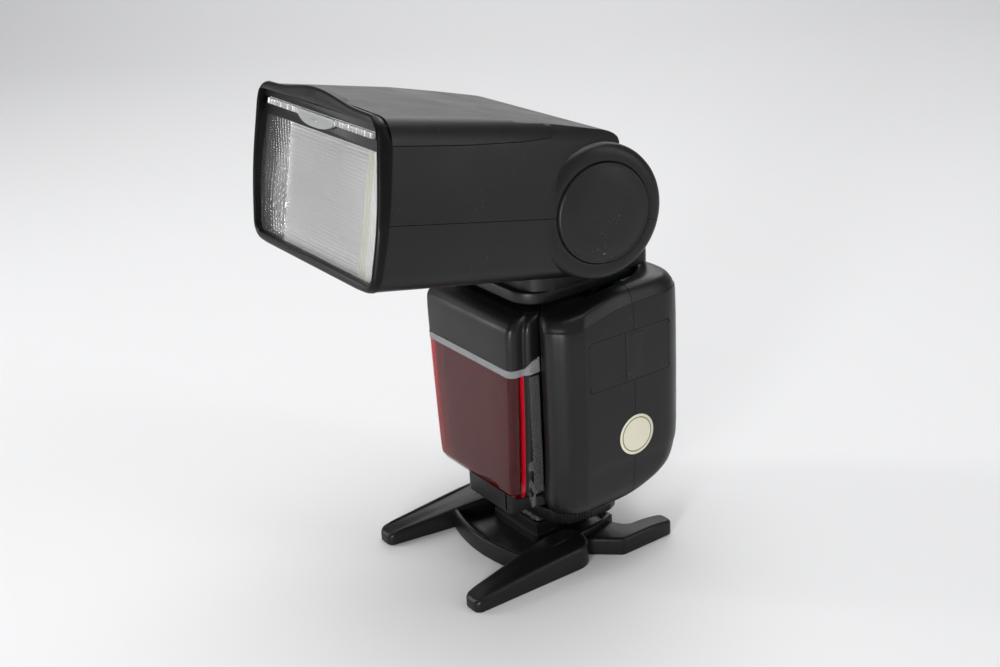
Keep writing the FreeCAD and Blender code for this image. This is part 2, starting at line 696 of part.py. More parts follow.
def turret_housing():
    """Plinth, neck and barrel of the turret, hollow inside."""
    x = (-TURRET_HALF_W, TURRET_HALF_W)
    plinth = prism_z(x, (TURRET_Y[0], 27.0), (TURRET_BOTTOM, 96.4), 9.0)
    neck = prism_z(x, (-17.5, 10.0), (TURRET_FOOT, 99), 8.0)
    rear = prism_z(x, (0.0, TURRET_Y[1]), (TURRET_FOOT, 150), TURRET_REAR_R)
    upper = prism_z(x, (-40, 10.0), (99, 150), 9.0)
    whole = fuse([plinth, turret_profile(0).common(fuse([neck, rear, upper]))])
    hollow = turret_profile(2.0).common(prism_z((-22.3, 22.3), (-18, 25), (94.6, 150), 7.0))
    housing = whole.cut(hollow)
    housing = housing.cut(disc_z(0, SWIVEL_Y, SWIVEL_R, (80, 96)))
    return housing.cut(disc_x(0, TILT_Z, TILT_SHAFT_R, (-40, 40)))


def swivel_shaft():
    """Hollow shaft the turret turns on; the cable bundle passes through it."""
    flange = disc_z(0, SWIVEL_Y, 15.0, (94.6, 96.2))
    tube = disc_z(0, SWIVEL_Y, SWIVEL_R, (85.2, 94.7))
    return fuse([flange, tube]).cut(disc_z(0, SWIVEL_Y, 8.0, (80, 100)))


def retaining_ring():
    ring = disc_z(0, SWIVEL_Y, 16.0, (85.2, 86.6))
    return ring.cut(disc_z(0, SWIVEL_Y, SWIVEL_R, (80, 100)))


def tilt_shaft():
    shaft = disc_x(0, TILT_Z, TILT_SHAFT_R, (-29.5, 29.5))
    return shaft.cut(disc_x(0, TILT_Z, 3.0, (-40, 40)))


# ---- head (local frame: forward -Y, up +Z, tilt axis at the origin) ------------------
# forward distance, half width, bottom, top of the head at each section
HEAD_SECTIONS = [(-20.0, 35.4, -20.6, 26.4), (0.0, 36.0, -20.7, 26.4), (25.0, 36.3, -20.7, 26.3),
                 (50.0, 36.6, -20.7, 26.2), (HEAD_FRONT, 37.3, -20.7, 26.1)]


def placed(shape):
    """Tilt a head piece and lift it to the tilt axis."""
    out = shape.copy()
    out.rotate(V(0, 0, 0), X_AXIS, -TILT_DEG)
    out.translate(V(0, 0, TILT_Z))
    return out


def head_loft(shrink):
    wires = []
    for a, half, low, high in HEAD_SECTIONS:
        radii = [5.5 - shrink, 5.5 - shrink, 6.5 - shrink, 6.5 - shrink]
        wires.append(rounded_wire((-half + shrink, low + shrink), (half - shrink, high - shrink),
                                  radii, lambda u, v, w=-a: V(u, w, v)))
    return Part.makeLoft(wires, True, True)


def head_outline():
    """Side outline: round rear bosses, flat bottom, top that falls to the rear."""
    top = [(-5.0, 20.0), (-4.4, 22.0), (-1.0, 23.6), (16.0, 24.9), (33.0, 25.6), (59.0, 26.05), (90.0, 26.1)]
    points = [(-a, b) for a, b in top] + [(-90.0, -20.8), (-BOSS_A, -20.8), (-BOSS_A, 0.0), (5.0, 0.0)]
    body = side_plate(points, (-60, 60))
    boss = disc_x(-BOSS_A, BOSS_B, BOSS_R, (-60, 60))
    return fuse([body, boss])


def leaning_face(x):
    """Everything beyond a face of the +X boss, which stands out further at the rear."""
    face = Part.makeBox(30, 120, 120, V(0, -60, -60))
    face.rotate(V(0, 0, 0), Z_AXIS, -BOSS_LEAN)
    face.translate(V(x, -BOSS_A, 0))
    return face


def boss():
    """Round boss on the +X side of the head, round the tilt axis."""
    disc = disc_x(-BOSS_A, BOSS_B, BOSS_R, (HEAD_MID, 44.0)).cut(leaning_face(BOSS_FACE))
    return rounded(disc, 1.6, lambda e: min(v.Point.x for v in e.Vertexes) > HEAD_MID + 1)


def head_shell():
    """The head's skin with its rear slot for the turret and the side pockets."""
    outer = head_loft(0).common(head_outline())
    outer = outer.fuse([boss(), mirrored(boss())])
    cavity = head_loft(WALL).common(box((-BIG, BIG), (-HEAD_FRONT - 5, -HEAD_SLOT_A - WALL), (-BIG, BIG)))
    pocket = box((HEAD_MID + WALL, 34.2), (-HEAD_SLOT_A - 3, 0), (-18.5, 19.0))
    pocket = pocket.fuse(disc_x(-BOSS_A, BOSS_B, BOSS_R - WALL, (HEAD_MID + WALL, 34.2)))
    slot = box((-HEAD_MID, HEAD_MID), (-HEAD_SLOT_A, 40), (-40, 18.8))
    cap_seat = disc_x(-BOSS_A, BOSS_B, CAP_R + 0.2, (34.5, 50))
    bore = disc_x(0, 0, TILT_SHAFT_R + RUN, (-40, 40))
    shell = outer.cut(cavity).cut(slot)
    shell = shell.cut(pocket).cut(mirrored(pocket))
    shell = shell.cut(cap_seat).cut(mirrored(cap_seat))
    return shell.cut(bore)


def cover_region():
    """Everything above the seam of the top cover."""
    seam = [(-90, 19.4), (-49, 19.8), (-30, 20.8), (-19, 22.4), (-17.4, 30), (-90, 30)]
    return side_plate(seam, (-60, 60))


def upper_shell():
    shell = head_shell().cut(cover_region())
    return placed(shell.common(box((-BIG, BIG), (-BIG, BIG), (SEAM_B, BIG))))


def lower_shell():
    return placed(head_shell().common(box((-BIG, BIG), (-BIG, BIG), (-BIG, SEAM_B))))


def top_cover():
    return placed(head_shell().common(cover_region()))


# forward distance, half width, bottom, top of the front frame
BEZEL_SECTIONS = [(HEAD_FRONT, 37.6, -20.9, 26.3), (73.6, 38.0, -20.9, 26.9), (76.0, 37.4, -20.4, 27.6),
                  (77.8, 35.6, -19.4, 27.2)]
BAR_FRONT = 74.7              # face of the bar between the lens and the panel slot


def bezel():
    """Front frame round the lens, with the slot for the pull-out panels above it."""
    wires = []
    for a, half, low, high in BEZEL_SECTIONS:
        wires.append(rounded_wire((-half, low), (half, high), [6, 6, 7.5, 7.5],
                                  lambda u, v, w=-a: V(u, w, v)))
    block = Part.makeLoft(wires, True, True)
    beyond = side_plate([(-77.5, 30), (-75.3, -24), (-90, -24), (-90, 30)], (-60, 60))
    block = block.cut(beyond)
    window = prism_y((-LENS_HALF_W, LENS_HALF_W), LENS_B, (-90, -60), 3.0)
    seat = prism_y((-LENS_HALF_W - 0.9, LENS_HALF_W + 0.9), (LENS_B[0] - 0.9, LENS_B[1] + 0.9),
                   (-LENS_A[1] - 0.1, -60), 3.0)
    recess = prism_y((-LENS_HALF_W, LENS_HALF_W), (LENS_B[0], 24.2), (-90, -BAR_FRONT), 3.0)
    slot = box((-PANEL_HALF - 1.5, PANEL_HALF + 1.5), (-90, -60), SLOT_B)
    return placed(block.cut(window).cut(seat).cut(recess).cut(slot))


def fresnel_lens():
    lens = prism_y((-LENS_HALF_W - 0.8, LENS_HALF_W + 0.8), (LENS_B[0] - 0.8, LENS_B[1] + 0.8),
                   (-LENS_A[1], -LENS_A[0]), 2.9)
    return placed(lens)


def cap_left():
    """Round cover of the +X boss; its face leans towards the front."""
    cap = disc_x(-BOSS_A, BOSS_B, CAP_R, (34.6, 44.0)).cut(leaning_face(CAP_FACE))
    return rounded(cap, 0.6, lambda e: min(v.Point.x for v in e.Vertexes) > 36.0)


def hinge_cap_left():
    return placed(cap_left())


def hinge_cap_right():
    return placed(mirrored(cap_left()))


def click_disc():
    """Toothed steel disc that gives the tilt its click stops."""
    disc = disc_x(0, 0, 11.0, (28.0, 29.4))
    for index in range(24):
        angle = math.radians(15 * index)
        notch = disc_x(11.0 * math.cos(angle), 11.0 * math.sin(angle), 0.7, (20, 40))
        disc = disc.cut(notch)
    return placed(disc.cut(disc_x(0, 0, TILT_SHAFT_R + RUN, (20, 40))))


def panel_tray():
    return placed(box((-33.5, 33.5), (-70.4, -23.4), (18.4, 19.4)))


def wide_panel():
    """Clear spreader panel with a half-round pull tab at its front edge."""
    sheet = box((-PANEL_HALF, PANEL_HALF), (-75.6, -31), WIDE_B)
    tab = disc_y(0, WIDE_B[1], 10.5, (-76.6, -75.4)).cut(box((-20, 20), (-80, -70), (WIDE_B[1], 40)))
    tab = tab.common(box((-20, 20), (-80, -70), (18.0, 30)))
    return placed(fuse([sheet, tab]))


def catchlight_panel():
    sheet = box((-PANEL_HALF, PANEL_HALF), (-75.2, -31), CATCH_B)
    return placed(sheet)


def zoom_frame():
    """Rails of the zoom carriage and the frame that holds their front ends."""
    frame = box((-33.4, 33.4), (-68.6, -67.2), (-17.4, 17.4)).cut(box((-27, 27), (-70, -60), (-14.5, 14.5)))
    frame = frame.cut(disc_y(SCREW_X, SCREW_B, SCREW_R + RUN, (-70, -60)))
    rails = [disc_y(side * RAIL_X, RAIL_B, RAIL_R, (-67.3, -22.8)) for side in (-1, 1)]
    return placed(fuse([frame] + rails))


def zoom_carriage():
    """Slider that carries the reflector along the rails."""
    cheek = box((25.8, 27.2), (-46, -24), (-13, 8))
    boss = disc_y(RAIL_X, RAIL_B, 2.6, (-46, -27))
    side = both_sides(fuse([cheek, boss]))
    bar = box((-27.2, 27.2), (-25.2, -23.6), (-5, 5))
    nut = box((27.0, 33.0), (-44, -40), (SCREW_B - 2.4, SCREW_B + 2.4))
    carriage = fuse([side, bar, nut])
    carriage = carriage.cut(disc_y(SCREW_X, SCREW_B, SCREW_R + RUN, (-70, 0)))
    for sign in (-1, 1):
        carriage = carriage.cut(disc_y(sign * RAIL_X, RAIL_B, RAIL_R + RUN, (-70, 0)))
    return placed(carriage)


def trough(mouth, half_h, vertex):
    """Filled section of the reflector: an arc closed across its mouth."""
    ellipse = Part.Ellipse(V(0, -vertex, 0), V(0, -mouth, half_h), V(0, -mouth, 0))
    arc = Part.ArcOfEllipse(ellipse, -math.pi / 2, math.pi / 2).toShape()
    lid = Part.LineSegment(V(0, -mouth, -half_h), V(0, -mouth, half_h)).toShape()
    return Part.Face(Part.Wire([arc, lid]))


def reflector():
    outer = trough(MOUTH_A, 13.0, 26.0).extrude(V(51.2, 0, 0))
    outer.translate(V(-25.6, 0, 0))
    inner = trough(MOUTH_A + 0.01, 12.4, 26.7).extrude(V(50.0, 0, 0))
    inner.translate(V(-25.0, 0, 0))
    return placed(outer.cut(inner).cut(disc_x(-33, 0, 2.1, (-40, 40))))


def flash_tube():
    tube = disc_x(-33, 0, 2.0, (-25.7, 25.7))
    return placed(tube)


def lead_screw():
    """Fine screw of the zoom drive, with a slot at its front end."""
    screw = disc_y(SCREW_X, SCREW_B, SCREW_R, (-68.4, -35.2))
    slot = box((SCREW_X - 2, SCREW_X + 2), (-69, -68.0), (SCREW_B - 0.2, SCREW_B + 0.2))
    return placed(screw.cut(slot))


def zoom_motor():
    return placed(disc_y(SCREW_X, SCREW_B, 3.4, (-35.0, -23.2)))


def head_board():
    board = box((-24, 24), (-66, -24), (-18.2, -16.8))
    coil = box((-14, -4), (-40, -28), (-16.8, -14.6))
    return placed(fuse([board, coil]))


# ---- write the files ------------------------------------------------------------------
PIECES = {
    "mini_stand": mini_stand, "thread_insert": thread_insert,
    "hot_shoe_foot": hot_shoe_foot, "contact_carrier": contact_carrier, "contact_pins": contact_pins,
    "lock_lever": lock_lever, "lock_pin": lock_pin, "foot_block": foot_block,
    "front_shell": front_shell, "rear_shell": rear_shell, "af_window": af_window,
    "af_lamp_module": af_lamp_module, "swivel_bushing": swivel_bushing, "battery_door": battery_door,
    "port_cover_front": port_cover_front, "port_cover_rear": port_cover_rear,
    "port_sockets": port_sockets, "battery_box": battery_box, "battery_cells": battery_cells,
    "battery_contacts": battery_contacts, "main_board": main_board, "control_board": control_board,
    "main_capacitor": main_capacitor, "rear_panel": rear_panel,
    "lcd_module": lcd_module, "lcd_window": lcd_window, "select_dial": select_dial,
    "set_button": set_button, "power_switch": power_switch,
    "side_sticker": side_sticker, "case_screws": case_screws,
    "key_1": lambda: key(KEY_X[0]), "key_2": lambda: key(KEY_X[1]),
    "key_3": lambda: key(KEY_X[2]), "key_4": lambda: key(KEY_X[3]),
    "mode_button": lambda: round_button(SIDE_X, MODE_Z, SIDE_R, 1.2),
    "sync_button": lambda: round_button(-SIDE_X, MODE_Z, SIDE_R, 1.2),
    "test_button": lambda: round_button(SIDE_X, TEST_Z, SIDE_R, 1.2),
    "turret_housing": turret_housing, "swivel_shaft": swivel_shaft, "retaining_ring": retaining_ring,
    "tilt_shaft": tilt_shaft,
    "upper_shell": upper_shell, "lower_shell": lower_shell, "top_cover": top_cover, "bezel": bezel,
    "fresnel_lens": fresnel_lens, "hinge_cap_left": hinge_cap_left,
    "hinge_cap_right": hinge_cap_right, "click_disc": click_disc,
    "panel_tray": panel_tray, "wide_panel": wide_panel, "catchlight_panel": catchlight_panel,
    "zoom_frame": zoom_frame, "zoom_carriage": zoom_carriage, "reflector": reflector,
    "flash_tube": flash_tube, "lead_screw": lead_screw, "zoom_motor": zoom_motor,
    "head_board": head_board,
}

os.makedirs("parts", exist_ok=True)
for name, make in PIECES.items():
    made = make()
    shape = Part.makeCompound(made) if isinstance(made, list) else made
    shape.exportStep("parts/" + name + ".step")
    print(name, len(shape.Solids), round(shape.Volume, 1), shape.isValid())
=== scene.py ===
"""Looks of the speedlight flash on its mini stand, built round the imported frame.

Meshes are written in millimetres and scaled to metres when they become objects.
The head is shaped along its own axis, forward -Y and up +Z from the tilt axis, and
then set at the tilt that the frame gives.
"""
import json
import math
import bmesh
import bpy
from mathutils import Matrix, Vector


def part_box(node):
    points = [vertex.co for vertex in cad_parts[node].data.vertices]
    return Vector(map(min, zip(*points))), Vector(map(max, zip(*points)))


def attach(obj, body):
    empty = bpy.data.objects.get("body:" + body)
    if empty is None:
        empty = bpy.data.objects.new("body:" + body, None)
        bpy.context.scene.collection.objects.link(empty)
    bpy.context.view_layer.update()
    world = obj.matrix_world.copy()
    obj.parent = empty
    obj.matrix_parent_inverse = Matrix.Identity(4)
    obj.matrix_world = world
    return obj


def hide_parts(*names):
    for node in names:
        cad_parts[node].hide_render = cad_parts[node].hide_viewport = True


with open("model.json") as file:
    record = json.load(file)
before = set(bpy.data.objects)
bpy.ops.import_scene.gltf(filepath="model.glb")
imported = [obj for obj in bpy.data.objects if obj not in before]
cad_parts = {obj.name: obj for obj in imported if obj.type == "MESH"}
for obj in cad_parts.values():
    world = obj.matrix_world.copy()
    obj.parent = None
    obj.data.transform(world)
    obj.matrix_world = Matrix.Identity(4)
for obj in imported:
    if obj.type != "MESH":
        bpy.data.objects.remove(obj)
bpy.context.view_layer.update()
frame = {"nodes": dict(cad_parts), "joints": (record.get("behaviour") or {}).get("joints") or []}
NODES = frame["nodes"]
JOINTS = {joint["name"]: joint for joint in frame["joints"]}

MM = 0.001
WALL = 1.8
SHARP_FROM = math.radians(32)
FAR = 60                      # beyond every face of the body and the head
SEAM_GAP = 0.08               # half the gap drawn along a seam between two shells


def joint_at(name):
    """Anchor of a joint, in millimetres."""
    return Vector(JOINTS[name]["pos_m"]) / MM


def span(node):
    """Lowest and highest corner of a CAD node, in millimetres."""
    low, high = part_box(node)
    return low / MM, high / MM


TILT_AT = joint_at("head_tilt")
FORWARD = Vector(JOINTS["zoom_travel"]["axis"])
HEAD_PLACE = Matrix.Translation(TILT_AT) @ Matrix.Rotation(-math.atan2(FORWARD.z, -FORWARD.y), 4, "X")

# ---- mesh kit -------------------------------------------------------------------
def new_object(name, points, faces, place=None):
    """Mesh object from points in millimetres, with normals made consistent."""
    mesh = bpy.data.meshes.new(name)
    spots = [place @ Vector(p) if place else Vector(p) for p in points]
    mesh.from_pydata([p * MM for p in spots], [], faces)
    work = bmesh.new()
    work.from_mesh(mesh)
    bmesh.ops.remove_doubles(work, verts=work.verts, dist=1e-6)
    bmesh.ops.recalc_face_normals(work, faces=work.faces)
    work.to_mesh(mesh)
    work.free()
    thing = bpy.data.objects.new(name, mesh)
    bpy.context.scene.collection.objects.link(thing)
    return thing


def loft(name, rings, place=None, closed=False):
    """Skin through rings of equal length; closed joins the last ring to the first."""
    count = len(rings[0])
    points = [p for ring in rings for p in ring]
    faces = []
    last = len(rings) if closed else len(rings) - 1
    for k in range(last):
        here = k * count
        there = (k + 1) % len(rings) * count
        for i in range(count):
            j = (i + 1) % count
            faces.append((here + i, here + j, there + j, there + i))
    if not closed:
        faces.append(tuple(reversed(range(count))))
        faces.append(tuple(range((len(rings) - 1) * count, len(rings) * count)))
    return new_object(name, points, faces, place)


def apply_modifiers(thing):
    """Bakes the modifiers of an object into its mesh."""
    graph = bpy.context.evaluated_depsgraph_get()
    mesh = bpy.data.meshes.new_from_object(thing.evaluated_get(graph))
    thing.modifiers.clear()
    thing.data = mesh


def combine(thing, tool, how):
    """Boolean of two closed meshes; the tool is used up."""
    change = thing.modifiers.new("combine", "BOOLEAN")
    change.operation = how
    change.solver = "MANIFOLD"
    change.object = tool
    apply_modifiers(thing)
    bpy.data.objects.remove(tool)
    return thing


def cut(thing, *tools):
    for tool in tools:
        combine(thing, tool, "DIFFERENCE")
    return thing


def join(thing, *tools):
    for tool in tools:
        combine(thing, tool, "UNION")
    return thing


def keep(thing, tool):
    return combine(thing, tool, "INTERSECT")


def duplicate(thing, name):
    copy = bpy.data.objects.new(name, thing.data.copy())
    bpy.context.scene.collection.objects.link(copy)
    return copy


def smooth(thing):
    for polygon in thing.data.polygons:
        polygon.use_smooth = True
    thing.data.set_sharp_from_angle(angle=SHARP_FROM)


def block(x, y, z):
    """Plain cutter between three (low, high) pairs."""
    points = [(a, b, c) for a in x for b in y for c in z]
    faces = [(0, 1, 3, 2), (4, 6, 7, 5), (0, 4, 5, 1), (2, 3, 7, 6), (0, 2, 6, 4), (1, 5, 7, 3)]
    return new_object("tool", points, faces)


def region(x=(-FAR, FAR), y=(-FAR, FAR), z=(0, 2 * FAR)):
    """Everything between the given limits; an axis that is not given is open."""
    return block(x, y, z)


def rounded_outline(corners, arc=6, straight=4):
    """Points round a polygon of (u, v, radius) corners, the same count for every polygon."""
    ends = []
    count = len(corners)
    for i, (u, v, radius) in enumerate(corners):
        here = Vector((u, v))
        before = Vector(corners[i - 1][:2]) - here
        after = Vector(corners[(i + 1) % count][:2]) - here
        opening = before.angle(after)
        reach = 0.0
        if opening < math.pi - 1e-4:
            reach = radius / math.tan(opening / 2)
        reach = min(reach, 0.49 * before.length, 0.49 * after.length)
        start = here + before.normalized() * reach
        end = here + after.normalized() * reach
        points = []
        for k in range(arc + 1):
            t = k / arc
            if reach < 1e-6:
                points.append(here.copy())
                continue
            # circular arc written as a rational quadratic curve
            w = math.sin(opening / 2)
            a, b, c = (1 - t) ** 2, 2 * w * t * (1 - t), t * t
            points.append((start * a + here * b + end * c) / (a + b + c))
        ends.append(points)
    outline = []
    for i, points in enumerate(ends):
        outline.extend(points)
        following = ends[(i + 1) % count][0]
        for k in range(1, straight):
            outline.append(points[-1].lerp(following, k / straight))
    return outline


def both_sides(right, *middle):
    """Corners of a plan that is the same on both sides: the right half is mirrored."""
    return right + list(middle) + [(-x, y, r) for x, y, r in reversed(right)]


def rounded_rect(x, y, radius):
    return [(x[0], y[0], radius), (x[1], y[0], radius), (x[1], y[1], radius), (x[0], y[1], radius)]


def prism(outline, low, high, axis="z", place=None, edge=0.0, name="tool"):
    """Outline pushed along an axis, with its two rims rounded by edge."""
    put = {"z": lambda u, v, w: (u, v, w), "y": lambda u, v, w: (u, w, v),
           "x": lambda u, v, w: (w, u, v)}[axis]
    if edge > 0:
        turns = [math.radians(a) for a in (0, 30, 60, 90)]
        steps = [(edge * (1 - math.sin(t)), low + edge * (1 - math.cos(t))) for t in turns]
        steps += [(edge * (1 - math.sin(t)), high - edge * (1 - math.cos(t))) for t in reversed(turns)]
    else:
        steps = [(0.0, low), (0.0, high)]
    rings = []
    for inset, level in steps:
        ring = inset_outline(outline, inset) if inset > 0 else outline
        rings.append([put(p.x, p.y, level) for p in ring])
    return loft(name, rings, place)


def through(levels, count):
    """Smooth curve through rows of numbers, evenly spaced between the rows."""
    rows = [Vector(row) for row in levels]
    out = []
    for k in range(len(rows) - 1):
        a, b = rows[max(k - 1, 0)], rows[k]
        c, d = rows[k + 1], rows[min(k + 2, len(rows) - 1)]
        for step in range(count):
            t = step / count
            out.append(b * 1.0 + (c - a) * (0.5 * t) + (a - b * 2.5 + c * 2 - d * 0.5) * t ** 2
                       + (b * 1.5 - a * 0.5 - c * 1.5 + d * 0.5) * t ** 3)
    return out + [rows[-1]]


def lathe(profile, centre, place=None, axis="x", count=72, name="lathe", closed=False):
    """Profile of (radius, along) turned round an axis through centre; closed makes a ring."""
    rings = []
    for radius, along in profile:
        ring = []
        for k in range(count):
            turn = 2 * math.pi * k / count
            u, v = radius * math.cos(turn), radius * math.sin(turn)
            if axis == "x":
                ring.append((along, centre[1] + u, centre[2] + v))
            elif axis == "y":
                ring.append((centre[0] + u, along, centre[2] + v))
            else:
                ring.append((centre[0] + u, centre[1] + v, along))
        rings.append(ring)
    return loft(name, rings, place, closed=closed)


def inset_outline(outline, amount):
    """Every point moved inward along its own normal; the outline runs counter-clockwise."""
    count = len(outline)
    area = sum(outline[i - 1].cross(outline[i]) for i in range(count))
    side = 1.0 if area > 0 else -1.0
    moved = []
    for i, here in enumerate(outline):
        k = 1
        while (outline[(i + k) % count] - outline[i - k]).length < 1e-6 and k < 6:
            k += 1
        along = (outline[(i + k) % count] - outline[i - k]).normalized()
        moved.append(here + Vector((-along.y, along.x)) * amount * side)
    return moved


def ease(value, low, high):
    t = min(max((value - low) / (high - low), 0.0), 1.0)
    return t * t * (3 - 2 * t)


def quarter(t, power=2.0):
    """0 at t 0, 1 at t 1: how far a rounded edge has pulled in."""
    t = min(max(t, 0.0), 1.0)
    return 1 - (1 - t ** power) ** (1 / power)


# ---- materials --------------------------------------------------------------------
class Paint:
    """A node material under construction, on the object's own coordinates."""

    def __init__(self, name):
        self.material = bpy.data.materials.new(name)
        self.material.use_nodes = True
        self.tree = self.material.node_tree
        self.shader = self.tree.nodes["Principled BSDF"]
        self.place = self.tree.nodes.new("ShaderNodeTexCoord").outputs["Object"]

    def node(self, kind, **values):
        made = self.tree.nodes.new(kind)
        for key, value in values.items():
            setattr(made, key, value)
        return made

    def link(self, source, target):
        self.tree.links.new(source, target)

    def set(self, **values):
        for key, value in values.items():
            self.shader.inputs[key.replace("_", " ")].default_value = value

    def noise(self, scale, detail=3.0, rough=0.5, stretch=None):
        made = self.node("ShaderNodeTexNoise")
        made.inputs["Scale"].default_value = scale
        made.inputs["Detail"].default_value = detail
        made.inputs["Roughness"].default_value = rough
        source = self.place
        if stretch:
            mapping = self.node("ShaderNodeMapping")
            mapping.inputs["Scale"].default_value = stretch
            self.link(source, mapping.inputs["Vector"])
            source = mapping.outputs["Vector"]
        self.link(source, made.inputs["Vector"])
        return made.outputs["Fac"]

    def remap(self, source, low, high, new_low, new_high):
        made = self.node("ShaderNodeMapRange")
        for key, value in (("From Min", low), ("From Max", high), ("To Min", new_low), ("To Max", new_high)):
            made.inputs[key].default_value = value
        self.link(source, made.inputs["Value"])
        return made.outputs["Result"]

    def math(self, operation, a, b):
        made = self.node("ShaderNodeMath", operation=operation)
        self.link(a, made.inputs[0])
        self.link(b, made.inputs[1])
        return made.outputs[0]

    def along(self, axis, low, high):
        """0 to 1 along one axis of the object, between two places in millimetres."""
        parts = self.node("ShaderNodeSeparateXYZ")
        self.link(self.place, parts.inputs[0])
        return self.remap(parts.outputs[axis], low * MM, high * MM, 0.0, 1.0)

    def mix(self, factor, a, b):
        made = self.node("ShaderNodeMix", data_type="RGBA")
        for socket, value in ((made.inputs[0], factor), (made.inputs[6], a), (made.inputs[7], b)):
            if isinstance(value, bpy.types.NodeSocket):
                self.link(value, socket)
            elif socket is made.inputs[0]:
                socket.default_value = value
            else:
                socket.default_value = (*value, 1)
        return made.outputs[2]

    def bump(self, source, strength, distance, edge):
        """Surface relief, over edges that read as rounded by edge millimetres."""
        made = self.node("ShaderNodeBump")
        made.inputs["Strength"].default_value = strength
        made.inputs["Distance"].default_value = distance * MM
        self.link(source, made.inputs["Height"])
        rounding = self.node("ShaderNodeBevel", samples=6)
        rounding.inputs["Radius"].default_value = edge * MM
        self.link(rounding.outputs["Normal"], made.inputs["Normal"])
        self.link(made.outputs["Normal"], self.shader.inputs["Normal"])

    def color(self, source):
        self.link(source, self.shader.inputs["Base Color"])

    def rough(self, source):
        self.link(source, self.shader.inputs["Roughness"])

    def see_through(self, source):
        self.link(source, self.shader.inputs["Transmission Weight"])


def moulded(name, dark, light, rough, grain=0.35, grain_scale=3200, edge=0.22, dust=0.0, shine=0.32):
    """Moulded plastic: fine grain, faint flow marks, slightly uneven gloss, a little dust."""
    paint = Paint(name)
    flow = paint.noise(28, 3)
    fine = paint.noise(grain_scale, 2)
    tone = paint.mix(paint.remap(flow, 0.35, 0.65, 0, 1), dark, light)
    if dust > 0:
        specks = paint.noise(1500, 1)
        where = paint.noise(60, 2)
        share = paint.math("MULTIPLY", paint.remap(specks, 0.70, 0.76, 0, 1), paint.remap(where, 0.5, 0.7, 0, dust))
        tone = paint.mix(share, tone, (0.35, 0.34, 0.32))
    paint.color(tone)
    paint.rough(paint.remap(paint.noise(90, 3), 0.3, 0.7, rough - 0.04, rough + 0.05))
    paint.bump(fine, grain, 0.02, edge)
    paint.set(Specular_IOR_Level=shine)
    return paint.material


def metal(name, color, rough, stretch, edge=0.15):
    paint = Paint(name)
    lines = paint.noise(900, 3, 0.6, stretch)
    paint.color(paint.mix(lines, [c * 0.82 for c in color], color))
    paint.rough(paint.remap(lines, 0.3, 0.7, rough, rough + 0.12))
    paint.bump(lines, 0.15, 0.01, edge)
    paint.set(Metallic=1.0)
    return paint.material


def clear(name, color, rough, ior=1.46, share=1.0):
    """Clear plastic or glass; a share below 1 lets the rest scatter like a milky plastic."""
    paint = Paint(name)
    smear = paint.noise(40, 3)
    paint.rough(paint.remap(smear, 0.3, 0.7, rough, rough + 0.03))
    paint.color(paint.mix(smear, [c * 0.94 for c in color], color))
    paint.set(Transmission_Weight=share, IOR=ior)
    return paint.material


def window_look():
    """Red window: deep red, with a painted glow of brighter red along its edges standing for light running through
    its walls.
    """
    paint = Paint("red_window")
    # painted glow: brighter red and less see-through towards the edges, standing for light that runs through the
    # side walls
    painted_edge_glow = paint.math("MAXIMUM", paint.along("X", -18.0, -21.6), paint.along("Y", -23.6, -22.9))
    paint.color(paint.mix(painted_edge_glow, (0.34, 0.003, 0.008), (0.80, 0.008, 0.030)))
    paint.rough(paint.remap(paint.noise(40, 3), 0.3, 0.7, 0.05, 0.08))
    paint.see_through(paint.remap(painted_edge_glow, 0, 1, 0.93, 0.45))
    paint.set(IOR=1.38)
    return paint.material


def lens_look():
    """Clear lens: a see-through band on one side, a milkier middle and a pale strip."""
    paint = Paint("lens_clear")
    middle = paint.along("X", -19.6, -18.6)
    right = paint.along("X", 27.6, 28.4)
    strip = paint.math("MAXIMUM", paint.along("X", 24.9, 24.5), right)
    tone = paint.mix(paint.noise(60, 3), (0.76, 0.76, 0.76), (0.93, 0.93, 0.92))
    paint.color(paint.mix(strip, (0.86, 0.86, 0.74), tone))
    paint.see_through(paint.math("SUBTRACT", paint.remap(middle, 0, 1, 0.97, 0.70),
                                 paint.remap(right, 0, 1, 0.0, 0.04)))
    paint.rough(paint.remap(paint.noise(90, 3), 0.3, 0.7, 0.05, 0.12))
    paint.set(IOR=1.46)
    return paint.material


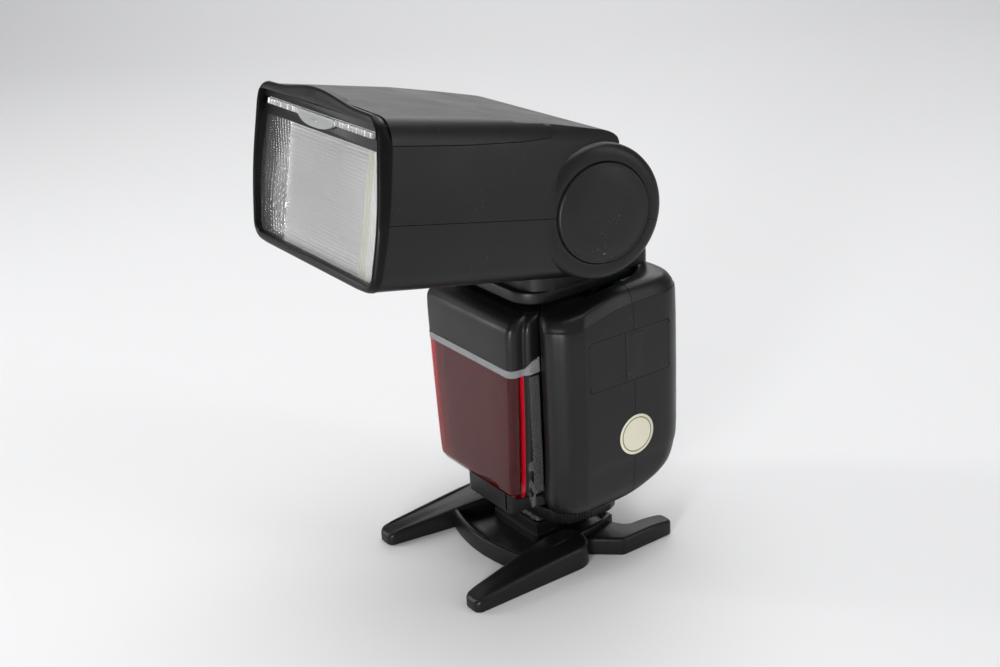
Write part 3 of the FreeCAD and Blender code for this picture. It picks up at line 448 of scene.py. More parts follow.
MAT = {
    "body": moulded("body_plastic", (0.0040, 0.0040, 0.0043), (0.0054, 0.0054, 0.0058), 0.33, dust=0.12),
    "head": moulded("head_plastic", (0.0048, 0.0048, 0.0052), (0.0062, 0.0062, 0.0067), 0.36, dust=0.12),
    "cap": moulded("cap_plastic", (0.0075, 0.0075, 0.0079), (0.0095, 0.0095, 0.0100), 0.46, dust=0.5),
    "frame": moulded("frame_plastic", (0.0030, 0.0030, 0.0033), (0.0040, 0.0040, 0.0044), 0.30, shine=0.16),
    "stand": moulded("stand_plastic", (0.0045, 0.0045, 0.0050), (0.0062, 0.0062, 0.0067), 0.34, dust=0.15,
                     shine=0.26),
    "rubber": moulded("soft_rubber", (0.0070, 0.0070, 0.0073), (0.0095, 0.0095, 0.0098), 0.55, 0.5, 2200, 0.3, 0.4),
    "rubber_dusty": moulded("dusty_rubber", (0.0085, 0.0085, 0.0088), (0.0125, 0.0125, 0.0128), 0.55, 0.5, 2200,
                            0.3, 0.8),
    "ring_ink": moulded("ring_ink", (0.14, 0.14, 0.03), (0.18, 0.18, 0.05), 0.45, 0.05),
    "inner": moulded("inner_plastic", (0.02, 0.02, 0.021), (0.028, 0.028, 0.03), 0.5),
    "panel": moulded("panel_plastic", (0.010, 0.010, 0.011), (0.014, 0.014, 0.015), 0.45),
    "steel": metal("turned_steel", (0.58, 0.58, 0.60), 0.22, (1, 8, 1)),
    "brass": metal("turned_brass", (0.74, 0.56, 0.26), 0.25, (1, 1, 8)),
    "mirror": metal("reflector_metal", (0.86, 0.87, 0.89), 0.12, (6, 1, 1)),
    "lens": lens_look(),
    "spreader": clear("spreader_clear", (0.90, 0.91, 0.91), 0.08, share=0.66),
    "tube": clear("tube_glass", (0.97, 0.97, 0.93), 0.01),
    "lamp": moulded("lamp_smoke", (0.016, 0.010, 0.010), (0.024, 0.014, 0.014), 0.16, 0.05),
    "red": window_look(),
    "film": clear("film_clear", (0.62, 0.62, 0.63), 0.12, ior=1.2, share=0.72),
    "film_thin": clear("film_thin", (0.50, 0.50, 0.50), 0.25, ior=1.08, share=0.90),
    "white": moulded("white_card", (0.72, 0.72, 0.70), (0.80, 0.80, 0.78), 0.45, 0.1),
    "board": moulded("board_green", (0.01, 0.075, 0.03), (0.015, 0.11, 0.045), 0.35, 0.1),
    "cell": moulded("cell_sleeve", (0.03, 0.07, 0.16), (0.04, 0.09, 0.2), 0.3, 0.05),
    "capacitor": moulded("capacitor_sleeve", (0.012, 0.012, 0.03), (0.02, 0.02, 0.045), 0.28, 0.05),
    "display": moulded("display_grey", (0.16, 0.19, 0.17), (0.19, 0.22, 0.2), 0.35, 0.05),
    "display_glass": clear("display_glass", (0.55, 0.58, 0.6), 0.02),
    "sticker": moulded("sticker_paper", (0.66, 0.63, 0.50), (0.72, 0.69, 0.57), 0.42, 0.1),
}

NODE_LOOK = {
    "body": ["foot_block", "lock_lever", "front_shell", "rear_shell", "battery_door"],
    "head": ["upper_shell", "lower_shell", "top_cover", "turret_housing", "hinge_cap_left", "hinge_cap_right"],
    "frame": ["bezel"],
    "stand": ["mini_stand"],
    "panel": ["rear_panel", "select_dial", "power_switch"],
    "rubber": ["port_cover_front", "port_cover_rear", "set_button", "key_1", "key_2", "key_3", "key_4",
               "mode_button", "sync_button", "test_button"],
    "inner": ["contact_carrier", "swivel_bushing", "port_sockets", "battery_box", "swivel_shaft",
              "panel_tray", "zoom_carriage"],
    "steel": ["hot_shoe_foot", "lock_pin", "battery_contacts", "case_screws", "retaining_ring", "tilt_shaft",
              "click_disc", "lead_screw", "zoom_motor"],
    "brass": ["thread_insert", "contact_pins"],
    "mirror": ["reflector"],
    "lens": ["fresnel_lens"],
    "spreader": ["wide_panel"],
    "tube": ["flash_tube"],
    "lamp": ["af_lamp_module"],
    "red": ["af_window"],
    "white": ["catchlight_panel", "zoom_frame"],
    "board": ["main_board", "control_board", "head_board"],
    "cell": ["battery_cells"],
    "capacitor": ["main_capacitor"],
    "display": ["lcd_module"],
    "display_glass": ["lcd_window"],
    "sticker": ["side_sticker"],
}


def dress(thing, look):
    thing.data.materials.clear()
    thing.data.materials.append(MAT[look])


def piece(thing, look, body, *replaced, slot=None):
    """Finish a made piece: material, body and the CAD nodes it stands for."""
    smooth(thing)
    dress(thing, look)
    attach(thing, body)
    if replaced:
        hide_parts(*replaced)


for look, names in NODE_LOOK.items():
    for node in names:
        dress(NODES[node], look)


# ---- flash body ---------------------------------------------------------------------
SIDE_X = span("port_cover_front")[1].x
SEAM_Y = span("rear_shell")[0].y
# height, half width, front, rear of the main block
BODY_LEVELS = [(19.8, 27.5, -10.4, 10.0), (21.0, 31.0, -13.0, 12.0), (23.5, 34.8, -16.0, 16.5),
               (27.0, 36.8, -17.9, 23.5), (31.0, 37.6, -18.6, 29.0), (37.0, 37.95, -18.8, 31.4),
               (46.0, SIDE_X, -18.8, 32.0), (86.0, SIDE_X, -18.8, 31.9), (91.3, 37.85, -18.6, 31.6),
               (93.5, 37.1, -17.8, 30.8), (94.9, 35.9, -16.6, 29.4), (95.6, 34.0, -14.6, 27.4)]
TOP_FALL = 4.3                # the body's top is this much lower at the front than at the seam
# height, half width, front of the nose
NOSE_LEVELS = [(26.4, 18.6, -22.6), (27.4, 20.0, -24.8), (29.4, 20.9, -26.2), (33.0, 21.5, -26.8),
               (55.0, 22.7, -26.8), (72.0, 23.3, -26.8), (84.5, 23.6, -26.7), (87.6, 23.4, -25.7),
               (89.8, 22.8, -23.4), (91.0, 21.8, -19.6)]
NOSE_FRONT = -26.8
NOSE_ROOT = -13.0
HUB_R = 9.0                   # hub that the locking lever turns on
KNURLS, KNURL_DEPTH = 150, 0.022     # knurls in a full turn, and their depth as a share of the radius
FILM_T = 0.12
# openings in the shells: room for the foot's base and for the block under the nose
BASE_ROOM = ((-15.1, 15.1), (-13.6, 13.1), (10, 24.0))
NOSE_ROOM = ((-12.7, 12.7), (-23.0, -12.4), (10, 27.7))
# radius and height of the round seat that the turret turns in
SEAT_FLARE = [(31.0, 92.2), (31.0, 93.6), (31.2, 94.6), (31.7, 95.3), (32.6, 95.65), (36.0, 95.9), (36.0, 99.0)]
WINDOW_LOW, WINDOW_HIGH = span("af_window")[0].z, span("af_window")[1].z
WINDOW_BACK = span("af_window")[1].y
WINDOW_T, FLAP_T, DOOR_T = 1.3, 1.5, 1.6
SWIVEL_AT = joint_at("head_swivel")


def body_outline(half, front, rear):
    """Plan of the main block: a groove beside the nose, then the wide round front column."""
    right = [(half - 12.0, front + 3.0, 0.5), (half - 11.0, front + 0.5, 1.2), (half - 6.4, front - 0.3, 6.0),
             (half - 1.5, front + 3.4, 6.0), (half, front + 9.0, 5.0), (half, rear, 10.0)]
    return rounded_outline(both_sides(right), arc=8, straight=8)


def nose_outline(half, front):
    """Plan of the nose: round front corners, then a bead down each side."""
    depth = (NOSE_ROOT - front) / (NOSE_ROOT - NOSE_FRONT)
    right = [(half, NOSE_FRONT, 3.0), (half + 0.1, WINDOW_BACK + 0.1, 0.5), (half + 1.9, WINDOW_BACK + 0.7, 1.4),
             (half + 2.2, -17.4, 1.4), (half + 1.0, -15.6, 0.8), (half + 1.0, NOSE_ROOT, 0.1)]
    right = [(x, NOSE_ROOT - (NOSE_ROOT - y) * depth, r) for x, y, r in right]
    return rounded_outline(both_sides(right))


def sloped(x, y, z):
    """Lowers the upper part of the body towards the front."""
    return (x, y, z - TOP_FALL * (1 - ease(y, -15.0, 9.0)) * ease(z, 78.0, 93.0))


def body_block(inset):
    """The main block, or the room inside it when its walls take up inset."""
    low, high = BODY_LEVELS[0][0] + inset, BODY_LEVELS[-1][0] - inset
    rings = []
    for z, half, front, rear in through(BODY_LEVELS, 4):
        if inset and not low < z < high:
            continue
        ring = body_outline(half - inset, front + inset, rear - inset)
        rings.append([sloped(p.x, p.y, z) for p in ring])
    top = BODY_LEVELS[-1][0] if not inset else high
    for share in (0.75, 0.5, 0.25):
        rings.append([sloped(p.x * share, 6 + (p.y - 6) * share, top + 0.02) for p in ring])
    return loft("body", rings)


def nose_block(inset):
    low, high = NOSE_LEVELS[0][0] + inset, NOSE_LEVELS[-1][0] - inset
    rings = []
    for z, half, front in through(NOSE_LEVELS, 4):
        if inset and not low < z < high:
            continue
        ring = nose_outline(half - inset, front + inset)
        rings.append([(p.x, p.y, z) for p in ring])
    return loft("nose", rings)


def side_plug(y, z, radius, x=(30.0, 45.0)):
    """Cutter through a side wall with rounded corners."""
    return prism(rounded_outline(rounded_rect(y, z, radius)), *x, axis="x")


def make_window(outer):
    """Red cover wrapped round the nose."""
    zone = region(y=(-FAR, WINDOW_BACK - 0.05), z=(WINDOW_LOW, WINDOW_HIGH))
    window = keep(duplicate(outer, "red_window"), zone)
    cut(window, nose_block(WINDOW_T))
    piece(window, "red", "flash_body", "af_window", slot="red_window")


def grip_strip(y, z):
    """Raised thumb strip on a rubber flap."""
    return prism(rounded_outline(rounded_rect(y, z, 0.8)), SIDE_X - 0.3, SIDE_X + 0.25, axis="x", edge=0.24)


def make_flaps(outer):
    """Two rubber covers in one rounded field on the side; the rear one has a thumb strip."""
    front_low, front_high = span("port_cover_front")
    rear_low, rear_high = span("port_cover_rear")
    field = side_plug((front_low.y + 0.1, rear_high.y - 0.1), (front_low.z, front_high.z), 2.2)
    covers = keep(duplicate(outer, "covers"), field)
    cut(covers, body_block(FLAP_T))
    split = (front_high.y + rear_low.y) / 2
    half = duplicate(covers, "port_cover_a")
    keep(half, region(x=(0, FAR), y=(-FAR, split - 0.07)))
    keep(covers, region(x=(0, FAR), y=(split + 0.07, FAR)))
    join(covers, grip_strip((split + 0.5, split + 6.8), (front_low.z + 0.8, front_high.z - 0.8)))
    covers.name = "port_cover_b"
    for thing, joint, beyond in ((half, "front_flap_open", -FAR), (covers, "rear_flap_open", FAR)):
        at = joint_at(joint)
        cut(thing, region(x=(30, FAR), y=sorted((at.y, beyond))))
        radius = SIDE_X - at.x
        rim = [(radius, front_low.z + 1.2), (radius, front_high.z - 1.2)]
        join(thing, lathe(rim, at, axis="z", count=40))
    piece(half, "rubber", "flap_front", "port_cover_front", slot="rubber")
    piece(covers, "rubber_dusty", "flap_rear", "port_cover_rear", slot="rubber")


def make_door(outer):
    """Battery door: a skin of the body with thumb ribs at its upper end."""
    low, high = span("battery_door")
    door = keep(duplicate(outer, "battery_lid"), side_plug((low.y, high.y), (low.z + 0.6, high.z), 1.6, (-45, -30)))
    cut(door, body_block(DOOR_T))
    for k in range(6):
        z = high.z - 3.0 - 1.3 * k
        rib = prism(rounded_outline(rounded_rect((low.y + 6, high.y - 6), (z - 0.35, z + 0.35), 0.34)),
                    -SIDE_X - 0.35, -SIDE_X + 0.3, axis="x", edge=0.3)
        join(door, rib)
    at = joint_at("battery_door_open")
    cut(door, region(x=(-FAR, -30), z=(0, at.z)))
    radius = at.z - low.z
    join(door, lathe([(radius, low.y + 0.2), (radius, high.y - 0.2)], at, axis="y", count=40))
    piece(door, "body", "door", "battery_door", slot="body_plastic")


def make_shells(outer):
    """Front and rear body shells, parted along the seam."""
    shell = duplicate(outer, "shell")
    cut(shell, body_block(WALL), nose_block(WALL))
    cut(shell, lathe(SEAT_FLARE, SWIVEL_AT, axis="z", count=96))
    cut(shell, lathe([(16.0, 80.0), (16.0, 99.0)], SWIVEL_AT, axis="z"))
    cut(shell, block(*BASE_ROOM), block(*NOSE_ROOM))
    front_low, front_high = span("port_cover_front")
    rear_high = span("port_cover_rear")[1]
    cut(shell, side_plug((front_low.y - 0.05, rear_high.y + 0.05), (front_low.z - 0.12, front_high.z + 0.12), 2.3))
    low, high = span("battery_door")
    cut(shell, side_plug((low.y - 0.12, high.y + 0.12), (low.z + 0.48, high.z + 0.12), 1.7, (-45, -30)))
    cut(shell, region(y=(-FAR, WINDOW_BACK), z=(WINDOW_LOW - 0.05, WINDOW_HIGH + 0.05)))
    low, high = span("rear_panel")
    panel = rounded_outline(rounded_rect((low.x - 0.12, high.x + 0.12), (low.z - 0.12, high.z + 0.12), 4.0))
    cut(shell, prism(panel, low.y, 45, axis="y"))
    front = duplicate(shell, "front_casing")
    keep(front, region(y=(-FAR, SEAM_Y - SEAM_GAP)))
    keep(shell, region(y=(SEAM_Y + SEAM_GAP, FAR)))
    shell.name = "rear_casing"
    piece(front, "body", "flash_body", "front_shell", slot="body_plastic")
    piece(shell, "body", "flash_body", "rear_shell", slot="body_plastic")


def make_lever():
    """Broad locking lever under the body, with fine knurls along its front corners."""
    low, high = span("lock_lever")
    half = high.x
    corner = [(-13.0, -11.6, 1.0), (-19.5, -9.6, 3.0), (-half + 1.3, -6.4, 3.0), (-half, 0.0, 6.0),
              (-half, 9.5, 4.0), (-half + 2.0, 13.8, 3.0), (-12.0, 16.0, 5.0)]
    outline = rounded_outline(both_sides(corner), arc=10, straight=28)
    ridged = []
    for p in outline:
        turn = math.atan2(p.y, abs(p.x))
        grip = ease(turn, -1.05, -0.95) * (1 - ease(turn, 0.02, 0.12))
        ridged.append(p * (1 - KNURL_DEPTH * grip * (0.5 + 0.5 * math.cos(turn * KNURLS))))
    lever = prism(ridged, low.z, high.z, edge=0.5, name="lever")
    cut(lever, lathe([(HUB_R + 0.15, 5.0), (HUB_R + 0.15, 30.0)], (0, 0, 0), axis="z"))
    piece(lever, "body", "lever", "lock_lever", slot="body_plastic")


def film_sheet(name, stations, look="film_thin"):
    """Thin sheet on the nose: stations of (place along the plan's outline, low, high, stand-off)."""
    outline = nose_outline(23.36, NOSE_FRONT)
    outer = inset_outline(outline, -1.0)
    rings = []
    for spot, low, high, off in stations:
        k = spot % len(outline)
        here, out = outline[k], outer[k]
        near, far = here.lerp(out, off), here.lerp(out, off + FILM_T)
        rings.append([(near.x, near.y, low), (far.x, far.y, low), (far.x, far.y, high), (near.x, near.y, high)])
    piece(loft(name, rings), look, "flash_body", slot="spreader_clear")


def make_film():
    """Remains of the protective film: a band over the window, a strip down its edge, three folds."""
    band = [(spot, 71.4, 73.7, 0.05) for spot in range(112, 134)]
    band += [(134 + k, 71.4 + 0.05 * k, 73.7 + 3.4 * ease(k, 2, 18), 0.06) for k in range(20)]
    film_sheet("film_band", band, "film")
    film_sheet("film_strip", [(spot, 31.0, 71.2, 0.08) for spot in range(143, 151)])
    for index, (low, high, reach) in enumerate(((39.0, 42.5, 12), (32.6, 36.4, 14), (27.6, 31.6, 16))):
        fold = []
        for k in range(reach):
            share = ease(k, 0, reach - 1)
            middle = low + (high - low) * (0.35 + 0.25 * math.sin(k * 0.9))
            half = (high - low) * (0.08 + 0.42 * share)
            crease = 0.35 + 0.45 * abs(math.sin(k * 1.1 + index))
            fold.append((145 - reach + k, middle - half, middle + half, crease))
        film_sheet("film_fold_" + str(index + 1), fold)


def make_sticker():
    """Plain round check sticker: cream disc with an olive ring pressed into it."""
    low, high = span("side_sticker")
    y, z, radius = (low.y + high.y) / 2, (low.z + high.z) / 2, (high.z - low.z) / 2
    x = SIDE_X
    disc = lathe([(radius, x + 0.01), (radius, x + 0.07), (radius - 0.06, x + 0.1), (radius - 0.9, x + 0.1),
                  (radius - 0.9, x + 0.08), (radius - 1.25, x + 0.08), (radius - 1.25, x + 0.1), (0.01, x + 0.1)],
                 (0, y, z), name="round_sticker")
    piece(disc, "sticker", "flash_body", "side_sticker", slot="sticker")
    ring = lathe([(radius - 1.24, x + 0.07), (radius - 0.91, x + 0.07), (radius - 0.91, x + 0.11),
                  (radius - 1.24, x + 0.11)], (0, y, z), name="sticker_ring", closed=True)
    piece(ring, "ring_ink", "flash_body", slot="sticker")


def make_body():
    outer = join(body_block(0), nose_block(0))
    make_window(outer)
    make_flaps(outer)
    make_door(outer)
    make_shells(outer)
    bpy.data.objects.remove(outer)
    make_sticker()
    make_lever()
    make_film()


make_body()

# ---- head (own axis: forward -Y, up +Z, tilt axis at the origin) -------------------------
HEAD_WIDTHS = [(-24.0, 35.3), (0.0, 35.9), (25.0, 36.4), (50.0, 36.9), (74.5, 37.6)]   # forward, half width
HEAD_TOP, HEAD_LOW = 26.1, -20.8
TOP_CROWN = 0.9
BOSS_A, BOSS_B, BOSS_R = 1.2, 0.5, 20.4
BOSS_FACE, BOSS_LEAN = 38.2, math.radians(8.0)
CAP_R, CAP_FACE = 15.0, 38.9
SHAFT_ROOM, CLICK_DISC_ROOM = [(5.1, -34.6), (5.1, 34.6)], [(11.1, 27.8), (11.1, 29.6)]
HEAD_MID, HEAD_SLOT_A = 25.4, 21.0   # half width and depth of the gap between the side arms
SEAM_B = -1.2                 # height of the seam between the upper and lower shell
SIDE_SEAM_A = 73.2            # bezel meets the shells here at the sides
BEZEL_TOP_A = 75.9
SCALLOP_HALF = 17.0
SCALLOP_DEPTH = 7.8
LENS_FACE, LENS_T = 73.6, 1.8
LENS_HIGH, LENS_LOW, LENS_HALF = 17.3, -18.0, 35.9
LENS_GRID = (420, 150)
SLOT_LOW = 20.5               # lower edge of the slot for the pull-out panel


def put_on_head(thing):
    thing.data.transform(Matrix.Translation(TILT_AT * MM) @ HEAD_PLACE.to_3x3().to_4x4())
    return thing


def head_half(a):
    for (a0, w0), (a1, w1) in zip(HEAD_WIDTHS, HEAD_WIDTHS[1:]):
        if a <= a1:
            return w0 + (w1 - w0) * (a - a0) / (a1 - a0)
    return HEAD_WIDTHS[-1][1]


def head_outline(half, top, low, straight=4):
    """Cross-section: slightly crowned top, bowed sides, soft shoulders."""
    right = [(half - 2.2, low, 6.0), (half + 0.25, -0.5, 110.0), (half - 2.6, top, 7.5)]
    return rounded_outline(both_sides(right, (0.0, top + TOP_CROWN, 420.0)), arc=8, straight=straight)


def head_block(inset, low_a, high_a):
    rings = []
    for k in range(11):
        a = low_a + (high_a - low_a) * k / 10
        ring = head_outline(head_half(a) - inset, HEAD_TOP - inset, HEAD_LOW + inset)
        rings.append([(p.x, -a, p.y) for p in ring])
    return loft("head_block", rings)


def side_outline():
    """Side view in (-forward, up): round boss at the back, flat bottom, top that falls to the rear."""
    reach = BOSS_R - 0.5
    points = [Vector((-90.0, -40.0)), Vector((-BOSS_A, -40.0)), Vector((-BOSS_A, BOSS_B - reach))]
    for k in range(1, 31):
        turn = math.radians(-90 + 161.6 * k / 30)
        points.append(Vector((-BOSS_A + reach * math.cos(turn), BOSS_B + reach * math.sin(turn))))
    top = [(5.1, 20.4), (4.9, 21.4), (4.4, 22.2), (3.4, 22.9), (1.6, 23.5), (-0.6, 23.8), (-16.0, 24.9),
           (-33.0, 25.9), (-52.0, 27.4), (-90.0, 34.0)]
    return points + [Vector(p) for p in top]


def cover_outline():
    """Side view of the top cover: its seam runs along the side and turns up at the rear."""
    seam = [(-90.0, 19.3, 0.1), (-49.0, 19.7, 60.0), (-30.0, 20.6, 40.0), (-19.4, 21.8, 2.4), (-16.6, 32.0, 1.0),
            (-90.0, 45.0, 0.1)]
    return rounded_outline(seam, arc=8, straight=2)


def lean(x, y):
    """The boss and its cap stand further out towards the rear."""
    return x + math.tan(BOSS_LEAN) * (y + BOSS_A)


def leaning(side, profile, name):
    """Profile of (radius, half width) turned round the boss's centre and then leaned."""
    rings = []
    for radius, x in profile:
        ring = []
        for k in range(96):
            turn = 2 * math.pi * k / 96
            y = -BOSS_A + radius * math.cos(turn)
            reach = lean(x, y) if x > 30 else x
            ring.append((side * reach, y, BOSS_B + radius * math.sin(turn)))
        rings.append(ring)
    return loft(name, rings)


def boss(side):
    """Round boss on the flank of the head, with a seat for the cap."""
    x = BOSS_FACE
    return leaning(side, [(BOSS_R, 27.0), (BOSS_R, x - 3.0), (BOSS_R - 0.1, x - 2.0), (BOSS_R - 0.45, x - 1.1),
                          (BOSS_R - 1.2, x - 0.45), (BOSS_R - 2.2, x - 0.12), (BOSS_R - 3.6, x),
                          (CAP_R + 0.75, x), (CAP_R + 0.4, x - 0.15), (CAP_R, x - 0.2)], "boss")


def cap_seat(side):
    return leaning(side, [(CAP_R + 0.3, BOSS_FACE - 1.6), (CAP_R + 0.3, 50.0)], "cap_seat")


def make_cap(side, node, name):
    """Smooth round cover in the boss, with a fine step near its rim."""
    x = CAP_FACE
    cap = leaning(side, [(CAP_R, BOSS_FACE - 1.5), (CAP_R, x - 0.7), (CAP_R - 0.15, x - 0.25), (CAP_R - 0.5, x),
                         (CAP_R - 0.9, x + 0.02), (CAP_R - 1.0, x - 0.06), (CAP_R - 1.15, x - 0.06),
                         (CAP_R - 1.3, x + 0.03), (8.0, x + 0.22), (0.5, x + 0.3)], name)
    piece(put_on_head(cap), "cap", "head", node, slot="head_plastic")


def head_solid():
    """Both side arms, the roof and the box of the head, before it is parted into shells."""
    solid = head_block(0, -30, 73.3)
    keep(solid, prism(side_outline(), -FAR, FAR, axis="x"))
    join(solid, boss(1), boss(-1))
    cut(solid, block((-HEAD_MID, HEAD_MID), (-HEAD_SLOT_A, 40), (-40, 18.8)))
    cut(solid, cap_seat(1), cap_seat(-1))
    for room in (SHAFT_ROOM, CLICK_DISC_ROOM):
        cut(solid, lathe(room, (0, 0, 0)))
    cut(solid, head_block(WALL, HEAD_SLOT_A + WALL, 80))
    return solid


def make_head_shells():
    upper = head_solid()
    upper.name = "head_upper"
    line = cover_outline()
    cover = keep(duplicate(upper, "top_lid"), prism(inset_outline(line, SEAM_GAP), -FAR, FAR, axis="x"))
    cut(upper, prism(inset_outline(line, -SEAM_GAP), -FAR, FAR, axis="x"))
    lower = keep(duplicate(upper, "head_lower"), region(y=(-90, FAR), z=(-FAR, SEAM_B - SEAM_GAP)))
    keep(upper, region(y=(-90, FAR), z=(SEAM_B + SEAM_GAP, FAR)))
    for thing, node in ((cover, "top_cover"), (lower, "lower_shell"), (upper, "upper_shell")):
        piece(put_on_head(thing), "head", "head", node, slot="head_plastic")


def mouth_a(b):
    """Forward distance of the bezel's front face at height b."""
    return 75.5 + (b - HEAD_LOW) * 0.042


def scallop(x):
    """1 on the head's centre line, easing to 0 at the scallop's ends."""
    return 0.5 + 0.5 * math.cos(math.pi * min(abs(x) / SCALLOP_HALF, 1.0))


def bezel_seam_a(x, b):
    """Forward distance of the line where the bezel's skin begins."""
    return SIDE_SEAM_A + ease(b, 19.0, 25.2) * (BEZEL_TOP_A - SIDE_SEAM_A - SCALLOP_DEPTH * scallop(x))


def bezel_ring(share, drop, inset):
    """Ring round the bezel: share runs from seam to the front edge, then drop and inset turn it over."""
    half = HEAD_WIDTHS[-1][1] + 0.35 * ease(share, 0, 1)
    outline = head_outline(half, HEAD_TOP, HEAD_LOW - 0.1, straight=16)
    inner = inset_outline(outline, 1.0)
    ring = []
    for p, q in zip(outline, inner):
        side = ease(abs(p.x), 27.0, 37.0)
        start = bezel_seam_a(p.x, p.y)
        edge = max(mouth_a(p.y) - 1.1 - 3.2 * side, start + 0.05)
        a = start + (edge - start) * share + drop * (mouth_a(p.y) - edge)
        lift = 0.12 + (0.5 + 1.9 * scallop(p.x * 0.72)) * ease(share, -0.05, 1.0) if p.y > 20 else 0.0
        pull = (1.0 + 0.45 * side) * inset
        ring.append((p.x + (q.x - p.x) * pull, -a, p.y + lift * ease(p.y, 20.0, 25.0) + (q.y - p.y) * pull))
    return ring


def opening_ring(depth, grow, back=None):
    """Ring of the bezel's opening, which holds the lens and the panel slot."""
    right = [(33.9 + grow, LENS_LOW - 0.2 - grow, 3.2), (LENS_HALF + grow, -0.5, 110.0),
             (33.3 + grow, 24.3 + grow, 2.6)]
    outline = rounded_outline(both_sides(right, (0.0, 24.8 + grow, 420.0)), arc=8, straight=16)
    return [(p.x, -(back if back else mouth_a(p.y) - depth), p.y) for p in outline]


def head_bar(x, b, a, radius=0.4, edge=0.25, name="bar"):
    """Bar across the head's mouth, between limits across, up and forward."""
    outline = rounded_outline(rounded_rect(x, b, radius))
    return prism(outline, -a[1], -a[0], axis="y", place=HEAD_PLACE, edge=edge, name=name)


def make_bezel():
    rings = [bezel_ring(k / 4, 0.0, 0.0) for k in range(5)]
    for degrees in (22, 45, 68, 90):
        turn = math.radians(degrees)
        rings.append(bezel_ring(1.0, math.sin(turn), 1 - math.cos(turn)))
    rings += [opening_ring(0.05, 0.45), opening_ring(0.25, 0.12), opening_ring(0.75, 0.0),
              opening_ring(0, 0.0, 71.3), opening_ring(0, 0.4, 71.0)]
    rings.append([(x * 0.975, -71.0, b * 0.97) for x, y, b in rings[0]])
    surround = loft("front_frame", rings, HEAD_PLACE, closed=True)
    piece(surround, "frame", "head", "bezel", slot="frame_plastic")
    lens_bar = head_bar((-35.2, 35.2), (LENS_HIGH - 0.1, SLOT_LOW), (71.2, 75.3), name="lens_bar")
    piece(lens_bar, "frame", "head", slot="frame_plastic")
    slot_bar = head_bar((-33.0, 33.0), (22.4, 24.4), (71.0, 75.9), 0.3, 0.1, "slot_bar")
    piece(slot_bar, "frame", "head", slot="frame_plastic")


def sawtooth(u):
    """Triangle wave between 0 and 1 with a period of 1."""
    return abs(2 * (u - math.floor(u)) - 1)


def lens_relief(x, b):
    """Height of the moulded ribs on the lens at a point."""
    if x < -19.0:
        return 0.42 * sawtooth((x + 0.11 * b + 0.9 * math.sin(b * 0.21 + x * 0.1)) / 1.75)
    if x > 24.8:
        return 0.16 * sawtooth(x / 1.3)
    reach = min(abs(b + 0.4) / 17.5, 1.0)
    return (0.06 + 0.13 * reach ** 2) * sawtooth(b / 1.06)


def make_lens():
    """Front lens with prism bands at the sides and fine steps across its middle."""
    low, high = LENS_LOW - 0.2, LENS_HIGH
    columns, rows = LENS_GRID
    points, faces = [], []
    for i in range(columns + 1):
        for j in range(rows + 1):
            b = low + (high - low) * j / rows
            wide = LENS_HALF - 2.0 * quarter(abs(b + 0.5) / 19.0, 2.2)
            x = -wide + 2 * wide * i / columns
            points.append((x, -(LENS_FACE + lens_relief(x, b)), b))
    for i in range(columns):
        for j in range(rows):
            k = i * (rows + 1) + j
            faces.append((k, k + rows + 1, k + rows + 2, k + 1))
    rim = [i * (rows + 1) for i in range(columns + 1)]
    rim += [columns * (rows + 1) + j for j in range(1, rows + 1)]
    rim += [i * (rows + 1) + rows for i in reversed(range(columns))]
    rim += list(reversed(range(1, rows)))
    first = len(points)
    points += [(points[k][0], -(LENS_FACE - LENS_T), points[k][2]) for k in rim]
    count = len(rim)
    for k in range(count):
        m = (k + 1) % count
        faces.append((rim[k], rim[m], first + m, first + k))
    faces.append(tuple(range(first, first + count)))
    lens = new_object("ribbed_lens", points, faces, HEAD_PLACE)
    piece(lens, "lens", "head", "fresnel_lens", slot="lens_clear")


def make_spreader():
    """Clear pull-out panel: its lip is ribbed and carries a half-round tab."""
    half = span("wide_panel")[1].x
    sheet = prism(rounded_outline(rounded_rect((-half, half), (-75.2, -31.0), 2.0)), 20.2, 21.2, place=HEAD_PLACE,
                  edge=0.15, name="spreader_panel")
    ribs = []
    steps = 440
    for k in range(steps + 1):
        x = -half + 2 * half * k / steps
        face = -75.5 - 0.75 * min(1.6 * sawtooth(x / 1.45), 1.0)
        ribs.append([(x, -75.1, 20.3), (x, face, 20.45), (x, face, 21.95), (x, -75.1, 22.15)])
    lip = loft("lip", ribs, HEAD_PLACE)
    tab_outline = []
    for k in range(25):
        x = -10.4 + 20.8 * k / 24
        tab_outline.append(Vector((x, 21.4 - 3.1 * (1 - abs(x / 10.4) ** 2.6) ** 0.62)))
    tab_outline += [Vector((10.4, 22.0)), Vector((-10.4, 22.0))]
    tab = prism(tab_outline, -76.6, -75.3, axis="y", place=HEAD_PLACE)
    mark = head_bar((-1.8, 1.8), (19.9, 20.4), (76.4, 76.85), 0.2, 0.05)
    join(sheet, lip, tab, mark)
    piece(sheet, "spreader", "spreader", "wide_panel", slot="spreader_clear")


make_head_shells()
make_cap(1, "hinge_cap_left", "tilt_cap_a")
make_cap(-1, "hinge_cap_right", "tilt_cap_b")
make_bezel()
make_lens()
make_spreader()

# ---- turret -----------------------------------------------------------------------------
TURRET_HALF = span("turret_housing")[1].x
TURRET_FRONT, TURRET_REAR = -17.5, span("turret_housing")[1].y
TURRET_FOOT = 95.95           # above this the turret overhangs its round seat
BARREL_R = 18.0
TILT_SHAFT_ROOM = [(5.05, -40.0), (5.05, 40.0)]        # radius and place along the axis
SWIVEL_SHAFT_ROOM = [(12.05, 80.0), (12.05, 96.3)]


def turret_plan(front, rear, front_r, rear_r):
    half = TURRET_HALF
    return rounded_outline([(-half, front, front_r), (half, front, front_r), (half, rear, rear_r),
                            (-half, rear, rear_r)], arc=10, straight=6)


